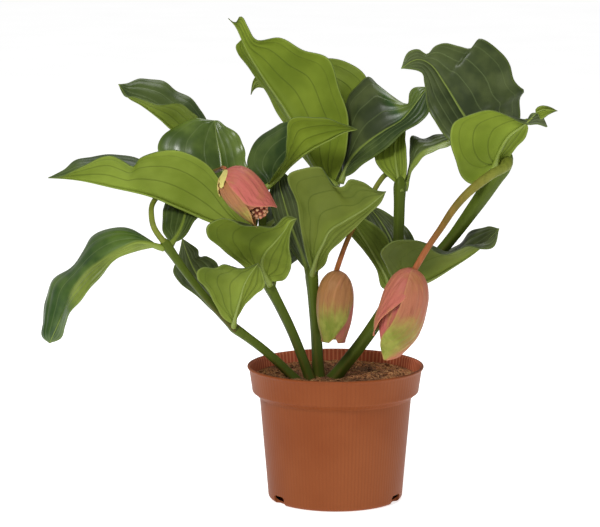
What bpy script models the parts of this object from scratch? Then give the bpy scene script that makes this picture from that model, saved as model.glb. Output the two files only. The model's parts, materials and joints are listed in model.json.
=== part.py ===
"""A flowering house plant with large leaves and hanging buds, growing in its nursery pot.

The origin is the centre of the pot's underside, +Z is up and the plant's best side faces -Y.
"""
import math

import bmesh
import bpy
import numpy as np
from mathutils import Vector

MM = 0.001

# Driving dimensions of the pot, millimetres
POT_HEIGHT = 130.0
LIP_RADIUS = 85.0
BAND_RADIUS = 83.1
BAND_FOOT_RADIUS = 80.3
BAND_HEIGHT = 25.0
BODY_TOP_RADIUS = 73.0
BODY_FOOT_RADIUS = 65.0
FOOT_RADIUS = 61.0
FOOT_ROUNDING = 5.0
POT_WALL = 1.6
POT_SIDES = 44
NOTCH_WIDTH = 13.0
NOTCH_HEIGHT = 8.0
NOTCH_DEPTH = 14.0
NOTCH_ANGLES = (-147.0, -27.0, 93.0)

# Driving dimensions of the soil, millimetres
SOIL_TOP = 119.0
SOIL_FOOT = 4.0
SOIL_LUMP = 1.6
SOIL_RINGS = 7

# Driving dimensions of the plant, millimetres
LEAF_THICKNESS = 0.9
LEAF_ROWS = 10
HALF_LEAF_COLUMNS = 2
LEAF_END_WIDTH = 1.6
BRACT_THICKNESS = 0.8
BRACT_ROWS = 7
BRACT_COLUMNS = 5
TUBE_POINT_SPACING = 11.0
CLEARANCE = 0.4

# Leaves: the midrib from its base to its tip, and the left and right margins between them,
# seen from the base with the top face up. Bulge is how far each half bellies, over its width.
LEAVES = {
    "leaf_crown": {
        "rib": [(-1, 30, 302), (-20, 48, 318), (-34, 60, 346), (-49, 70, 371), (-68, 78, 398),
            (-85, 82, 425), (-97, 82, 450), (-104, 82, 458)],
        "left": [(4, 29, 313), (10, 30, 332), (13, 35, 361), (5, 42, 389), (-7, 50, 421),
            (-31, 58, 429), (-54, 66, 440), (-76, 72, 438), (-85, 77, 450), (-90, 79, 459),
            (-93, 80, 460), (-97, 81, 454)],
        "right": [(-13, 45, 304), (-29, 70, 320), (-49, 90, 353), (-66, 98, 381), (-82, 98, 406),
            (-95, 92, 422), (-97, 90, 431), (-90, 86, 438), (-95, 84, 448)],
        "bulge": (0.06, 0.06)},
    "leaf_crown_rear": {
        "rib": [(17, 95, 352), (-4, 105, 372), (-34, 112, 383), (-59, 112, 389), (-76, 110, 395),
            (-83, 108, 381)],
        "left": [(23, 90, 369), (32, 88, 397), (12, 88, 415), (-7, 90, 418), (-34, 95, 410),
            (-59, 102, 404), (-72, 106, 404), (-80, 108, 396)],
        "right": [(13, 110, 360), (-14, 140, 376), (-44, 142, 378), (-64, 130, 384), (-77, 118, 387)],
        "bulge": (0.05, 0.05)},
    "leaf_centre_dark": {
        "rib": [(6, 24, 308), (12, 28, 321), (21, 28, 333), (33, 25, 344), (47, 22, 354),
            (64, 20, 365), (77, 20, 381), (88, 22, 396)],
        "left": [(7, 40, 321), (10, 53, 347), (9, 60, 372), (13, 62, 385), (22, 61, 394),
            (32, 60, 403), (41, 53, 396), (53, 45, 387), (64, 38, 380), (69, 31, 379), (71, 28, 390),
            (75, 25, 395)],
        "right": [(14, 19, 312), (25, 15, 321), (36, 10, 330), (48, 6, 338), (58, 4, 349),
            (72, 4, 359), (88, 8, 371), (90, 15, 384)],
        "bulge": (0.08, 0.06)},
    "leaf_fork_left": {
        "rib": [(61, 2, 302), (58, 8, 320), (57, 20, 336), (60, 32, 352), (64, 42, 367)],
        "left": [(67, 3, 312), (68, 12, 330), (67, 20, 345), (67, 32, 358)],
        "right": [(53, 2, 309), (46, 5, 315), (39, 11, 323), (37, 20, 333), (40, 30, 342),
            (47, 40, 353), (57, 44, 363)],
        "bulge": (0.08, 0.08)},
    "leaf_fork_right": {
        "rib": [(66, 7, 303), (73, 12, 322), (83, 16, 334), (98, 22, 340), (112, 26, 346),
            (127, 30, 352)],
        "left": [(71, 24, 326), (73, 36, 347), (83, 38, 345), (95, 38, 348), (107, 37, 350),
            (118, 34, 354)],
        "right": [(73, 2, 318), (84, 6, 331), (98, 12, 337), (112, 20, 341)],
        "bulge": (0.06, 0.06)},
    "leaf_right_crown": {
        "rib": [(153, -12, 327), (137, 0, 347), (120, 8, 373), (104, 15, 399), (90, 15, 418),
            (77, 10, 423), (62, 4, 415)],
        "left": [(136, -14, 330), (108, -6, 347), (93, 0, 366), (86, 4, 382), (84, 6, 402),
            (82, 6, 410)],
        "right": [(168, 0, 338), (176, 12, 367), (176, 15, 386), (180, 15, 393), (175, 17, 397),
            (170, 18, 403), (166, 20, 418), (159, 22, 428), (137, 25, 442), (129, 24, 433),
            (118, 22, 435), (104, 22, 438), (94, 20, 435), (87, 17, 428), (78, 12, 433), (68, 8, 430)],
        "bulge": (0.06, 0.08)},
    "leaf_right_front": {
        "rib": [(148, -30, 326), (153, -38, 342), (160, -42, 355), (171, -44, 364), (180, -44, 371),
            (190, -42, 379), (206, -42, 379)],
        "left": [(160, -26, 330), (165, -26, 338), (174, -28, 348), (180, -32, 361), (178, -38, 369),
            (182, -42, 377), (187, -44, 377), (190, -46, 371), (198, -45, 376)],
        "right": [(135, -34, 315), (127, -38, 310), (118, -44, 316), (111, -52, 333), (105, -57, 353),
            (108, -60, 369), (120, -62, 377), (139, -62, 382), (156, -56, 377), (170, -50, 370),
            (179, -44, 366), (188, -38, 366), (198, -36, 363), (190, -36, 371), (186, -38, 380),
            (191, -40, 384), (199, -42, 383)],
        "bulge": (0.08, 0.10)},
    "leaf_right_low": {
        "rib": [(60, -12, 205), (72, -18, 209), (89, -22, 216), (110, -24, 229), (132, -26, 244),
            (144, -26, 255), (154, -26, 266)],
        "left": [(71, 0, 212), (86, 18, 227), (106, 22, 236), (118, 18, 244), (127, 10, 256),
            (137, 0, 263), (146, -12, 266)],
        "right": [(53, -28, 219), (45, -46, 237), (41, -58, 249), (50, -66, 258), (62, -72, 262),
            (75, -74, 262), (86, -74, 256), (90, -72, 251), (100, -66, 247), (114, -58, 251),
            (125, -50, 252), (137, -42, 249), (149, -34, 250)],
        "bulge": (0.06, 0.10)},
    "leaf_centre_front": {
        "rib": [(-23, -18, 221), (-18, -30, 240), (-12, -38, 254), (-6, -42, 266), (9, -50, 277),
            (27, -55, 289), (38, -56, 298), (46, -55, 305)],
        "left": [(-11, -22, 230), (-6, -32, 244), (6, -40, 257), (20, -48, 272), (33, -54, 286),
            (41, -56, 294)],
        "right": [(-28, -28, 238), (-33, -34, 261), (-37, -38, 290), (-46, -35, 313), (-44, -30, 319),
            (-33, -28, 323), (-15, -30, 325), (-9, -35, 318), (-3, -42, 309), (6, -48, 309),
            (12, -52, 316), (25, -56, 314), (36, -58, 307)],
        "bulge": (0.05, 0.10)},
    "leaf_mid_front": {
        "rib": [(-64, -34, 217), (-70, -42, 233), (-67, -50, 246), (-58, -54, 257), (-48, -58, 270),
            (-43, -60, 278), (-37, -60, 280)],
        "left": [(-52, -34, 217), (-45, -40, 224), (-42, -48, 237), (-44, -55, 254), (-42, -60, 269)],
        "right": [(-86, -38, 230), (-108, -52, 251), (-120, -60, 262), (-121, -64, 274),
            (-108, -68, 281), (-97, -70, 280), (-89, -70, 276), (-73, -70, 274), (-60, -68, 273),
            (-50, -65, 282), (-44, -62, 283)],
        "bulge": (0.08, 0.12)},
    "leaf_low_front": {
        "rib": [(-97, -34, 175), (-94, -46, 189), (-90, -56, 204), (-86, -66, 219), (-80, -73, 231),
            (-73, -77, 241)],
        "left": [(-91, -44, 187), (-84, -50, 199), (-74, -56, 209), (-67, -62, 217), (-68, -70, 228)],
        "right": [(-108, -40, 184), (-121, -56, 212), (-130, -66, 225), (-130, -69, 232),
            (-124, -72, 236), (-113, -78, 237), (-105, -80, 240), (-95, -80, 237), (-85, -80, 237)],
        "bulge": (0.08, 0.10)},
    "leaf_left_drooping": {
        "rib": [(-166, -48, 252), (-185, -55, 257), (-200, -60, 252), (-217, -64, 242),
            (-232, -66, 231), (-247, -64, 212), (-257, -60, 189), (-270, -54, 161)],
        "left": [(-187, -60, 249), (-204, -70, 244), (-220, -82, 228), (-230, -86, 216),
            (-246, -80, 197), (-254, -70, 181), (-258, -60, 167)],
        "right": [(-175, -44, 258), (-192, -34, 266), (-216, -22, 266), (-232, -16, 256),
            (-248, -14, 228), (-270, -18, 216), (-275, -28, 199), (-278, -40, 179), (-278, -48, 167)],
        "bulge": (0.10, 0.12)},
    "leaf_left_wide": {
        "rib": [(-76, 0, 262), (-92, -2, 264), (-117, -5, 270), (-151, -10, 285), (-176, -15, 296),
            (-212, -20, 305), (-244, -22, 312), (-272, -22, 314)],
        "left": [(-93, -12, 284), (-111, -30, 315), (-122, -38, 329), (-136, -44, 339),
            (-151, -48, 343), (-174, -50, 340), (-184, -49, 336), (-190, -46, 328), (-199, -46, 332),
            (-210, -46, 337), (-221, -43, 336), (-240, -36, 326), (-259, -28, 316)],
        "right": [(-75, 6, 273), (-89, 9, 277), (-109, 16, 290), (-130, 22, 302), (-159, 26, 314),
            (-181, 28, 322), (-193, 28, 327), (-204, 26, 330), (-218, 22, 332), (-235, 12, 329),
            (-249, 2, 328), (-259, -10, 320)],
        "bulge": (0.12, 0.10)},
    "leaf_left_rear": {
        "rib": [(-131, 112, 329), (-160, 104, 347), (-172, 100, 358), (-190, 95, 372), (-203, 91, 380),
            (-212, 88, 393)],
        "left": [(-129, 92, 347), (-134, 84, 360), (-140, 80, 367), (-149, 78, 374), (-177, 76, 375),
            (-196, 80, 382), (-206, 86, 381)],
        "right": [(-126, 122, 339), (-129, 128, 357), (-142, 132, 374), (-157, 132, 383),
            (-172, 128, 393), (-193, 115, 396), (-205, 100, 393)],
        "bulge": (0.08, 0.08)},
    "leaf_left_upright": {
        "rib": [(-80, 24, 294), (-96, 40, 298), (-108, 56, 307), (-112, 66, 326), (-116, 74, 344),
            (-118, 80, 358)],
        "left": [(-96, 34, 293), (-132, 52, 298), (-159, 60, 312), (-173, 64, 331), (-170, 70, 342),
            (-157, 76, 352), (-138, 82, 360), (-126, 82, 359)],
        "right": [(-80, 30, 302), (-86, 44, 319), (-89, 58, 335), (-96, 68, 347), (-107, 76, 353),
            (-114, 79, 358)],
        "bulge": (0.10, 0.08)},
    "leaf_centre_left": {
        "rib": [(-66, 18, 301), (-56, 15, 309), (-43, 8, 323), (-26, 0, 337), (-5, -8, 349),
            (8, -12, 356), (20, -13, 359)],
        "left": [(-75, 28, 306), (-86, 40, 320), (-82, 44, 333), (-72, 46, 347), (-58, 42, 356),
            (-46, 30, 362), (-32, 14, 364), (-10, -2, 363)],
        "right": [(-62, 8, 310), (-49, -8, 331), (-47, -16, 349), (-45, -22, 368), (-32, -26, 372),
            (-18, -28, 372), (-4, -26, 369), (9, -19, 364)],
        "bulge": (0.08, 0.10)},
    "leaf_left_inner": {
        "rib": [(-155, -40, 254), (-148, -25, 264), (-144, -5, 276), (-143, 15, 288), (-142, 28, 302)],
        "left": [(-163, -32, 262), (-165, -12, 272), (-164, 10, 285), (-156, 24, 296)],
        "right": [(-144, -32, 258), (-135, -10, 270), (-127, 6, 279), (-128, 20, 291)],
        "bulge": (0.08, 0.08)},
    "leaf_low_rear": {
        "rib": [(-100, -26, 174), (-115, -12, 195), (-125, -4, 207), (-135, 2, 221), (-142, 2, 237),
            (-147, 0, 253)],
        "left": [(-118, -15, 185), (-133, -7, 198), (-149, 0, 209), (-156, 4, 220), (-151, 4, 235)],
        "right": [(-95, -20, 185), (-102, -2, 197), (-109, 8, 211), (-115, 12, 228), (-124, 12, 234),
            (-131, 9, 234), (-132, 6, 241), (-140, 2, 248)],
        "bulge": (0.08, 0.08)},
    "leaf_centre_inner": {
        "rib": [(-27, -8, 222), (-32, 4, 236), (-43, 16, 264), (-50, 22, 287), (-54, 27, 303),
            (-52, 29, 314)],
        "left": [(-35, 0, 230), (-46, 12, 245), (-57, 18, 263), (-63, 24, 282), (-63, 27, 298)],
        "right": [(-25, -2, 234), (-28, 8, 252), (-32, 16, 276), (-39, 22, 297), (-46, 26, 310)],
        "bulge": (0.08, 0.08)},
    "leaf_fork_low": {
        "rib": [(52, -8, 204), (48, 0, 216), (39, 8, 232), (27, 14, 251), (14, 18, 270), (2, 20, 282)],
        "left": [(56, -2, 217), (55, 4, 239), (49, 9, 254), (41, 14, 262), (29, 19, 269),
            (16, 22, 276)],
        "right": [(44, -5, 206), (39, 4, 222), (27, 11, 239), (14, 15, 254), (4, 18, 268)],
        "bulge": (0.08, 0.08)},
    "leaf_fork_rear": {
        "rib": [(61, 4, 208), (60, 22, 227), (54, 36, 246), (45, 44, 262), (32, 48, 278)],
        "left": [(52, 14, 220), (43, 30, 237), (33, 41, 255), (28, 47, 270)],
        "right": [(69, 12, 218), (76, 24, 233), (77, 33, 246), (70, 41, 257), (57, 46, 267),
            (44, 48, 275)],
        "bulge": (0.08, 0.08)},
    "leaf_rear_wide": {
        "rib": [(-66, 8, 264), (-46, 50, 270), (-22, 95, 270), (6, 138, 264)],
        "left": [(-71, 26, 273), (-71, 62, 282), (-49, 108, 279), (-14, 134, 269)],
        "right": [(-56, 18, 258), (-22, 56, 251), (8, 96, 255), (13, 126, 261)],
        "bulge": (0.08, 0.08)},
    "leaf_rear_crown": {
        "rib": [(21, 97, 350), (37, 112, 359), (56, 130, 360), (70, 148, 352)],
        "left": [(23, 100, 362), (33, 118, 373), (52, 138, 369)],
        "right": [(27, 100, 343), (45, 112, 339), (62, 132, 345)],
        "bulge": (0.08, 0.08)},
    "leaf_rear_low": {
        "rib": [(-60, -22, 214), (-55, 4, 229), (-49, 42, 238), (-41, 84, 241)],
        "left": [(-65, -2, 222), (-70, 32, 235), (-60, 70, 243)],
        "right": [(-52, -8, 222), (-37, 26, 228), (-32, 62, 235)],
        "bulge": (0.08, 0.08)},
}

# Stems and flower stalks: the points that each passes through, and its radius at each point
STEMS = {
    "stem_left": {
        "route": [(-37, -12, 116), (-65, -20, 145), (-95, -30, 170)],
        "radii": [4.6, 4.2, 4.4]},
    "stem_left_upper": {
        "route": [(-96, -31, 171), (-129, -38, 209), (-159, -45, 252)],
        "radii": [4.2, 3.6, 4.2]},
    "stem_second": {
        "route": [(-24, -14, 117), (-42, -20, 166), (-63, -27, 210)],
        "radii": [4.8, 4.5, 4.8]},
    "stem_second_upper": {
        "route": [(-63, -26, 211), (-66, -14, 236), (-70, 0, 263), (-69, 17, 295)],
        "radii": [4, 3.6, 3.8, 3.8]},
    "stem_third": {
        "route": [(-16, -8, 115), (-19, -12, 166), (-23, -15, 218)],
        "radii": [5.6, 5, 5.4]},
    "stem_third_upper": {
        "route": [(-22, -13, 218), (-13, 8, 260), (0, 32, 301)],
        "radii": [4, 3.6, 4]},
    "stem_fourth": {
        "route": [(-4, -6, 115), (29, -12, 159), (57, -10, 202)],
        "radii": [6, 5.8, 6]},
    "stem_fourth_upper": {
        "route": [(58, -9, 203), (99, -11, 241), (131, -14, 284), (144, -17, 304), (155, -20, 323)],
        "radii": [4.6, 4.8, 5.2, 6.6, 8]},
    "stem_fork": {
        "route": [(59, -4, 204), (60, 0, 251), (61, 3, 301)],
        "radii": [5.4, 5, 5.2]},
    "stem_crown_rear": {
        "route": [(1, 36, 302), (10, 66, 328), (17, 92, 350)],
        "radii": [3.6, 3.2, 3.6]},
    "stem_left_rear": {
        "route": [(-75, 26, 296), (-101, 84, 303), (-129, 112, 328)],
        "radii": [3.4, 3.2, 3.6]},
    "stalk_left": {
        "route": [(-161, -46, 255), (-171, -48, 270), (-174, -38, 282), (-173, -12, 290),
            (-164, 12, 297), (-144, 30, 302), (-126, 34, 310), (-116, 20, 315), (-109, 0, 320),
            (-107, -26, 324), (-104, -50, 326)],
        "radii": [3, 2.8, 2.6, 2.6, 2.4, 2.4, 2.2, 2, 2, 1.8, 1.8]},
    "stalk_middle": {
        "route": [(62, 11, 306), (57, 15, 312), (49, 13, 313), (41, 3, 306), (30, -10, 288),
            (13, -20, 259), (1, -22, 227)],
        "radii": [2.8, 2.6, 2.5, 2.5, 2.4, 2.4, 2.6]},
    "stalk_right": {
        "route": [(156, -26, 326), (161, -38, 331), (158, -52, 328), (144, -62, 322), (123, -70, 307),
            (109, -73, 292), (96, -77, 273), (84, -81, 256), (73, -85, 238)],
        "radii": [4.4, 4.4, 4.4, 4.2, 3.8, 3.4, 3, 2.8, 2.8]},
}

# Buds: where the stalk ends, where the bud ends, its fattest radius, how wide its mouth is over
# that radius, and its bracts. A bract has a name, the side it faces (0 is the front, 90 the
# right), its half width in degrees round the bud, and its length and radius over the bud's.
BUDS = {
    "left": {
        "base": (-104, -53, 324), "tip": (-66, -62, 282), "radius": 18.5, "mouth": 0.72,
        "bracts": [("upper", 110, 84, 1.0, 1.0), ("lower", -70, 84, 0.96, 1.0),
                   ("front", 20, 62, 0.60, 0.80), ("rear", 200, 70, 0.62, 0.80)]},
    "middle": {
        "base": (1, -22, 225), "tip": (-2, -26, 157), "radius": 17.0, "mouth": 0.55,
        "bracts": [("left", -80, 86, 0.97, 1.0), ("right", 100, 86, 1.0, 1.0),
                   ("front", 10, 66, 0.88, 0.80), ("rear", 190, 70, 0.9, 0.80)]},
    "right": {
        "base": (70, -85, 237), "tip": (49, -90, 153), "radius": 21.0, "mouth": 0.28,
        "bracts": [("left", -75, 80, 0.86, 1.0), ("right", 100, 86, 1.0, 1.0),
                   ("front", 15, 66, 0.92, 0.80), ("rear", 190, 70, 0.9, 0.80)]},
}
BUD_PROFILE = ((0.0, 0.20), (0.08, 0.55), (0.25, 0.90), (0.45, 1.0), (0.65, 0.92))
INNER_BRACT_START = 0.16
BRACT_OUTLINE = ((0.0, 0.80), (0.2, 1.0), (0.6, 1.0), (0.8, 0.75), (0.92, 0.42), (1.0, 0.10))

# The open left bud's cluster of round flower buds, millimetres
CLUSTER_CENTRE = (-72, -61, 288)
CLUSTER_RADII = (6.6, 6.6, 6.6)
CLUSTER_BUD_RADIUS = 2.3
CLUSTER_BUDS = 9

# Colours (linear), roughness
FINISHES = {
    "pot_plastic": ((0.42, 0.13, 0.055), 0.5),
    "soil_mix": ((0.09, 0.045, 0.025), 0.95),
    "leaf_blade": ((0.09, 0.20, 0.035), 0.4),
    "stem_skin": ((0.12, 0.24, 0.03), 0.5),
    "bract_skin": ((0.75, 0.25, 0.22), 0.5),
    "flower_bud_skin": ((0.80, 0.55, 0.42), 0.5),
}


def clear_scene():
    for old in list(bpy.data.objects):
        bpy.data.objects.remove(old, do_unlink=True)


def new_collection(name):
    made = bpy.data.collections.new(name)
    bpy.context.scene.collection.children.link(made)
    return made


def new_material(name, finish):
    colour, roughness = FINISHES[finish]
    made = bpy.data.materials.new(name)
    made.use_nodes = True
    shader = made.node_tree.nodes["Principled BSDF"]
    shader.inputs["Base Color"].default_value = (*colour, 1.0)
    shader.inputs["Roughness"].default_value = roughness
    shader.inputs["Metallic"].default_value = 0.0
    return made


def new_object(name, data, finish, collection):
    made = bpy.data.objects.new(name, data)
    collection.objects.link(made)
    if finish:
        data.materials.append(new_material(name + "_" + finish, finish))
    return made


def smooth_curve(points, count):
    """Points evenly spaced along a smooth curve through the given points."""
    p = np.array(points, float)
    steps = np.sqrt(np.linalg.norm(np.diff(p, axis=0), axis=1))
    knots = np.concatenate([[0.0], np.cumsum(steps)])
    slopes = np.zeros_like(p)
    for i in range(1, len(p) - 1):
        before, after = (p[i] - p[i - 1]) / steps[i - 1], (p[i + 1] - p[i]) / steps[i]
        slopes[i] = (before * steps[i] + after * steps[i - 1]) / (steps[i - 1] + steps[i])
    slopes[0] = 1.5 * (p[1] - p[0]) / steps[0] - 0.5 * slopes[1]
    slopes[-1] = 1.5 * (p[-1] - p[-2]) / steps[-1] - 0.5 * slopes[-2]
    t = np.linspace(0.0, knots[-1], 400)
    k = np.clip(np.searchsorted(knots, t) - 1, 0, len(p) - 2)
    step = steps[k][:, None]
    u = (t - knots[k])[:, None] / step
    curve = ((1 + 2 * u) * (1 - u) ** 2 * p[k] + u * (1 - u) ** 2 * step * slopes[k]
             + u * u * (3 - 2 * u) * p[k + 1] + u * u * (u - 1) * step * slopes[k + 1])
    arc = np.concatenate([[0.0], np.cumsum(np.linalg.norm(np.diff(curve, axis=0), axis=1))])
    stations = np.linspace(0.0, arc[-1], count)
    return np.stack([np.interp(stations, arc, curve[:, axis]) for axis in range(3)], axis=1)


def leaf_surface(leaf, rows, half_columns):
    """Rows of points from the left margin over the midrib to the right margin, millimetres."""
    rib = smooth_curve(leaf["rib"], rows + 1)
    along = np.gradient(rib, axis=0)
    surface = np.zeros((rows + 1, 2 * half_columns + 1, 3))
    for side, sign, bulge in (("left", -1, leaf["bulge"][0]), ("right", 1, leaf["bulge"][1])):
        margin = smooth_curve([leaf["rib"][0]] + leaf[side] + [leaf["rib"][-1]], rows + 1)
        across = margin - rib
        for end, inner in ((0, 1), (-1, -2)):
            across[end] = across[inner] / np.linalg.norm(across[inner]) * LEAF_END_WIDTH
        width = np.linalg.norm(across, axis=1)[:, None]
        up = np.cross(across, along) * sign
        up /= np.linalg.norm(up, axis=1)[:, None]
        for column in range(half_columns + 1):
            t = column / half_columns
            belly = up * bulge * width * 4 * t * (1 - t)
            surface[:, half_columns + sign * column] = rib + across * t + belly
    return surface


def sheet_object(name, surface, thickness, finish, collection):
    """A grid laid over the surface's points and thickened to a closed solid."""
    rows, columns = surface.shape[:2]
    bm = bmesh.new()
    bmesh.ops.create_grid(bm, x_segments=rows - 1, y_segments=columns - 1, size=1.0)
    bm.verts.ensure_lookup_table()
    ordered = sorted(bm.verts, key=lambda v: (round(v.co.x, 4), -round(v.co.y, 4)))
    for vertex, place in zip(ordered, surface.reshape(-1, 3)):
        vertex.co = Vector(place * MM)
    bmesh.ops.triangulate(bm, faces=bm.faces[:])
    mesh = bpy.data.meshes.new(name)
    bm.to_mesh(mesh)
    bm.free()
    made = new_object(name, mesh, finish, collection)
    wall = made.modifiers.new("thickness", "SOLIDIFY")
    wall.thickness = thickness * MM
    wall.offset = 0.0
    return made


def tube_curve(name, stem, extra, finish, collection):
    """A stem as a filled tube along its route, fatter by the extra radius."""
    route = stem["route"]
    length = sum(math.dist(a, b) for a, b in zip(route, route[1:]))
    count = max(5, round(length / TUBE_POINT_SPACING) + 1)
    places = smooth_curve(route, count)
    stops = np.linspace(0, 1, len(route))
    radii = np.interp(np.linspace(0, 1, count), stops, stem["radii"])
    data = bpy.data.curves.new(name, "CURVE")
    data.dimensions = "3D"
    data.bevel_depth = MM
    data.bevel_resolution = 2
    data.use_fill_caps = True
    spline = data.splines.new("POLY")
    spline.points.add(count - 1)
    for point, place, radius in zip(spline.points, places, radii):
        point.co = (*(place * MM), 1.0)
        point.radius = radius + extra
    return new_object(name, data, finish, collection)


def as_mesh(curve, collection):
    """The curve object remade as a mesh object of the same name, its caps welded."""
    name = curve.name
    depsgraph = bpy.context.evaluated_depsgraph_get()
    mesh = bpy.data.meshes.new_from_object(curve.evaluated_get(depsgraph))
    bm = bmesh.new()
    bm.from_mesh(mesh)
    bmesh.ops.remove_doubles(bm, verts=bm.verts[:], dist=0.00001)
    bm.to_mesh(mesh)
    bm.free()
    bpy.data.objects.remove(curve, do_unlink=True)
    made = bpy.data.objects.new(name, mesh)
    collection.objects.link(made)
    return made


def hide_cutter(cutter):
    cutter.hide_render = True
    cutter.display_type = "WIRE"


def keep_largest_piece(target):
    """Applies the object's modifiers and drops all but its largest island of faces."""
    depsgraph = bpy.context.evaluated_depsgraph_get()
    mesh = bpy.data.meshes.new_from_object(target.evaluated_get(depsgraph))
    target.modifiers.clear()
    bm = bmesh.new()
    bm.from_mesh(mesh)
    left = set(bm.verts)
    islands = []
    while left:
        island, edge = set(), [left.pop()]
        while edge:
            vertex = edge.pop()
            island.add(vertex)
            near = {e.other_vert(vertex) for e in vertex.link_edges} & left
            left -= near
            edge.extend(near)
        islands.append(island)
    islands.sort(key=len)
    for island in islands[:-1]:
        bmesh.ops.delete(bm, geom=list(island), context="VERTS")
    bmesh.ops.triangulate(bm, faces=bm.faces[:])
    bm.to_mesh(mesh)
    bm.free()
    target.data = mesh


def boxes_touch(a, b):
    """Whether the two objects' bounding boxes meet."""
    low_a, high_a = np.min(a, axis=0), np.max(a, axis=0)
    low_b, high_b = np.min(b, axis=0), np.max(b, axis=0)
    return bool(np.all(low_a <= high_b) and np.all(low_b <= high_a))


def corners(target):
    return np.array([target.matrix_world @ Vector(c) for c in target.bound_box])


def cut_clear(target, cutters):
    """Cuts the fattened stems that come near the target out of it."""
    bpy.context.view_layer.update()
    near = [c for c in cutters if boxes_touch(corners(target), corners(c))]
    for cutter in near:
        cut = target.modifiers.new("clear of " + cutter.name, "BOOLEAN")
        cut.operation = "DIFFERENCE"
        cut.object = cutter
    if near:
        keep_largest_piece(target)


def pot_profile():
    """The wall's outer side from the lip down, under the foot, and up the inner side."""
    band_foot = POT_HEIGHT - BAND_HEIGHT
    wall = POT_WALL
    outer = [(LIP_RADIUS - 1.2, POT_HEIGHT), (LIP_RADIUS, POT_HEIGHT - 1.2),
             (LIP_RADIUS, POT_HEIGHT - 2.6), (BAND_RADIUS, POT_HEIGHT - 4.0),
             (BAND_FOOT_RADIUS, band_foot + 1.0), (BAND_FOOT_RADIUS - 1.5, band_foot - 1.0),
             (BODY_TOP_RADIUS + 1.5, band_foot - 4.0), (BODY_TOP_RADIUS, band_foot - 6.0),
             (BODY_FOOT_RADIUS + 1.7, 25.0), (BODY_FOOT_RADIUS, FOOT_ROUNDING),
             (BODY_FOOT_RADIUS - 1.4, 1.4), (FOOT_RADIUS, 0.0)]
    inner = [(FOOT_RADIUS - wall, 2.0), (BODY_FOOT_RADIUS - wall - 0.4, FOOT_ROUNDING),
             (BODY_TOP_RADIUS - wall, band_foot - 7.5), (BODY_TOP_RADIUS + 1.0 - wall, band_foot - 4.5),
             (BAND_FOOT_RADIUS - wall, band_foot), (BAND_RADIUS - wall, POT_HEIGHT - 3.6),
             (BAND_RADIUS - wall + 0.3, POT_HEIGHT - 0.6)]
    return [(0.0, 2.0)], outer, inner


def build_pot(parts, cutters):
    middle, outer, inner = pot_profile()
    points = [*outer, (0.0, 0.0), *middle, *inner]
    mesh = bpy.data.meshes.new("pot")
    bm = bmesh.new()
    verts = [bm.verts.new((x * MM, 0.0, z * MM)) for x, z in points]
    for a, b in zip(verts, verts[1:] + verts[:1]):
        if not (a.co.x == 0.0 and b.co.x == 0.0):
            bm.edges.new((a, b))
    bm.to_mesh(mesh)
    bm.free()
    pot = new_object("pot", mesh, "pot_plastic", parts)
    turn = pot.modifiers.new("turned", "SCREW")
    turn.steps = POT_SIDES
    turn.render_steps = POT_SIDES
    turn.use_merge_vertices = True
    turn.merge_threshold = 0.00001
    for number, angle in enumerate(NOTCH_ANGLES):
        bm = bmesh.new()
        bmesh.ops.create_cube(bm, size=1.0)
        bmesh.ops.scale(bm, verts=bm.verts[:], vec=(NOTCH_DEPTH * MM, NOTCH_WIDTH * MM, 2 * NOTCH_HEIGHT * MM))
        block = bpy.data.meshes.new("notch")
        bm.to_mesh(block)
        bm.free()
        cutter = new_object("notch_cutter_%d" % number, block, None, cutters)
        turned = math.radians(angle)
        reach = (BODY_FOOT_RADIUS + 1.0) * MM
        cutter.location = (reach * math.cos(turned), reach * math.sin(turned), 0.0)
        cutter.rotation_euler = (0.0, 0.0, turned)
        hide_cutter(cutter)
        notch = pot.modifiers.new("notch %d" % number, "BOOLEAN")
        notch.operation = "DIFFERENCE"
        notch.object = cutter
    return pot


def build_soil(parts, stem_cutters):
    """The root ball: a closed turned plug with a lumpy top."""
    gap = POT_WALL + 0.5
    band_foot = POT_HEIGHT - BAND_HEIGHT
    side = [(BAND_FOOT_RADIUS + 0.8 - gap, SOIL_TOP), (BAND_FOOT_RADIUS - gap, band_foot + 0.8),
            (BODY_TOP_RADIUS - gap, band_foot - 3.6), (BODY_TOP_RADIUS - gap - 0.4, band_foot - 8.5),
            (BODY_FOOT_RADIUS - gap - NOTCH_DEPTH / 2, SOIL_FOOT)]
    top = [(radius, SOIL_TOP) for radius in np.linspace(0.0, side[0][0], SOIL_RINGS)[:-1]]
    profile = [*top, *side, (0.0, SOIL_FOOT)]
    mesh = bpy.data.meshes.new("soil")
    bm = bmesh.new()
    verts = [bm.verts.new((x * MM, 0.0, z * MM)) for x, z in profile]
    for a, b in zip(verts, verts[1:]):
        bm.edges.new((a, b))
    axis = (0.0, 0.0, 1.0)
    bmesh.ops.spin(bm, geom=bm.verts[:] + bm.edges[:], cent=(0, 0, 0), axis=axis,
                   angle=2 * math.pi, steps=POT_SIDES, use_merge=True)
    bmesh.ops.remove_doubles(bm, verts=bm.verts[:], dist=0.00001)
    rim = side[0][0] * MM
    for vertex in bm.verts:
        x, y, z = vertex.co
        if z > (SOIL_TOP - 0.5) * MM:
            inside = max(0.0, 1.0 - math.hypot(x, y) / rim)
            lump = math.sin(x * 190 + 1.0) * math.cos(y * 160) + 0.6 * math.sin(x * 330 - y * 290)
            vertex.co.z += SOIL_LUMP * MM * lump * min(1.0, inside * 5)
    bmesh.ops.recalc_face_normals(bm, faces=bm.faces[:])
    bm.to_mesh(mesh)
    bm.free()
    soil = new_object("soil", mesh, "soil_mix", parts)
    cut_clear(soil, stem_cutters)
    return soil


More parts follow.
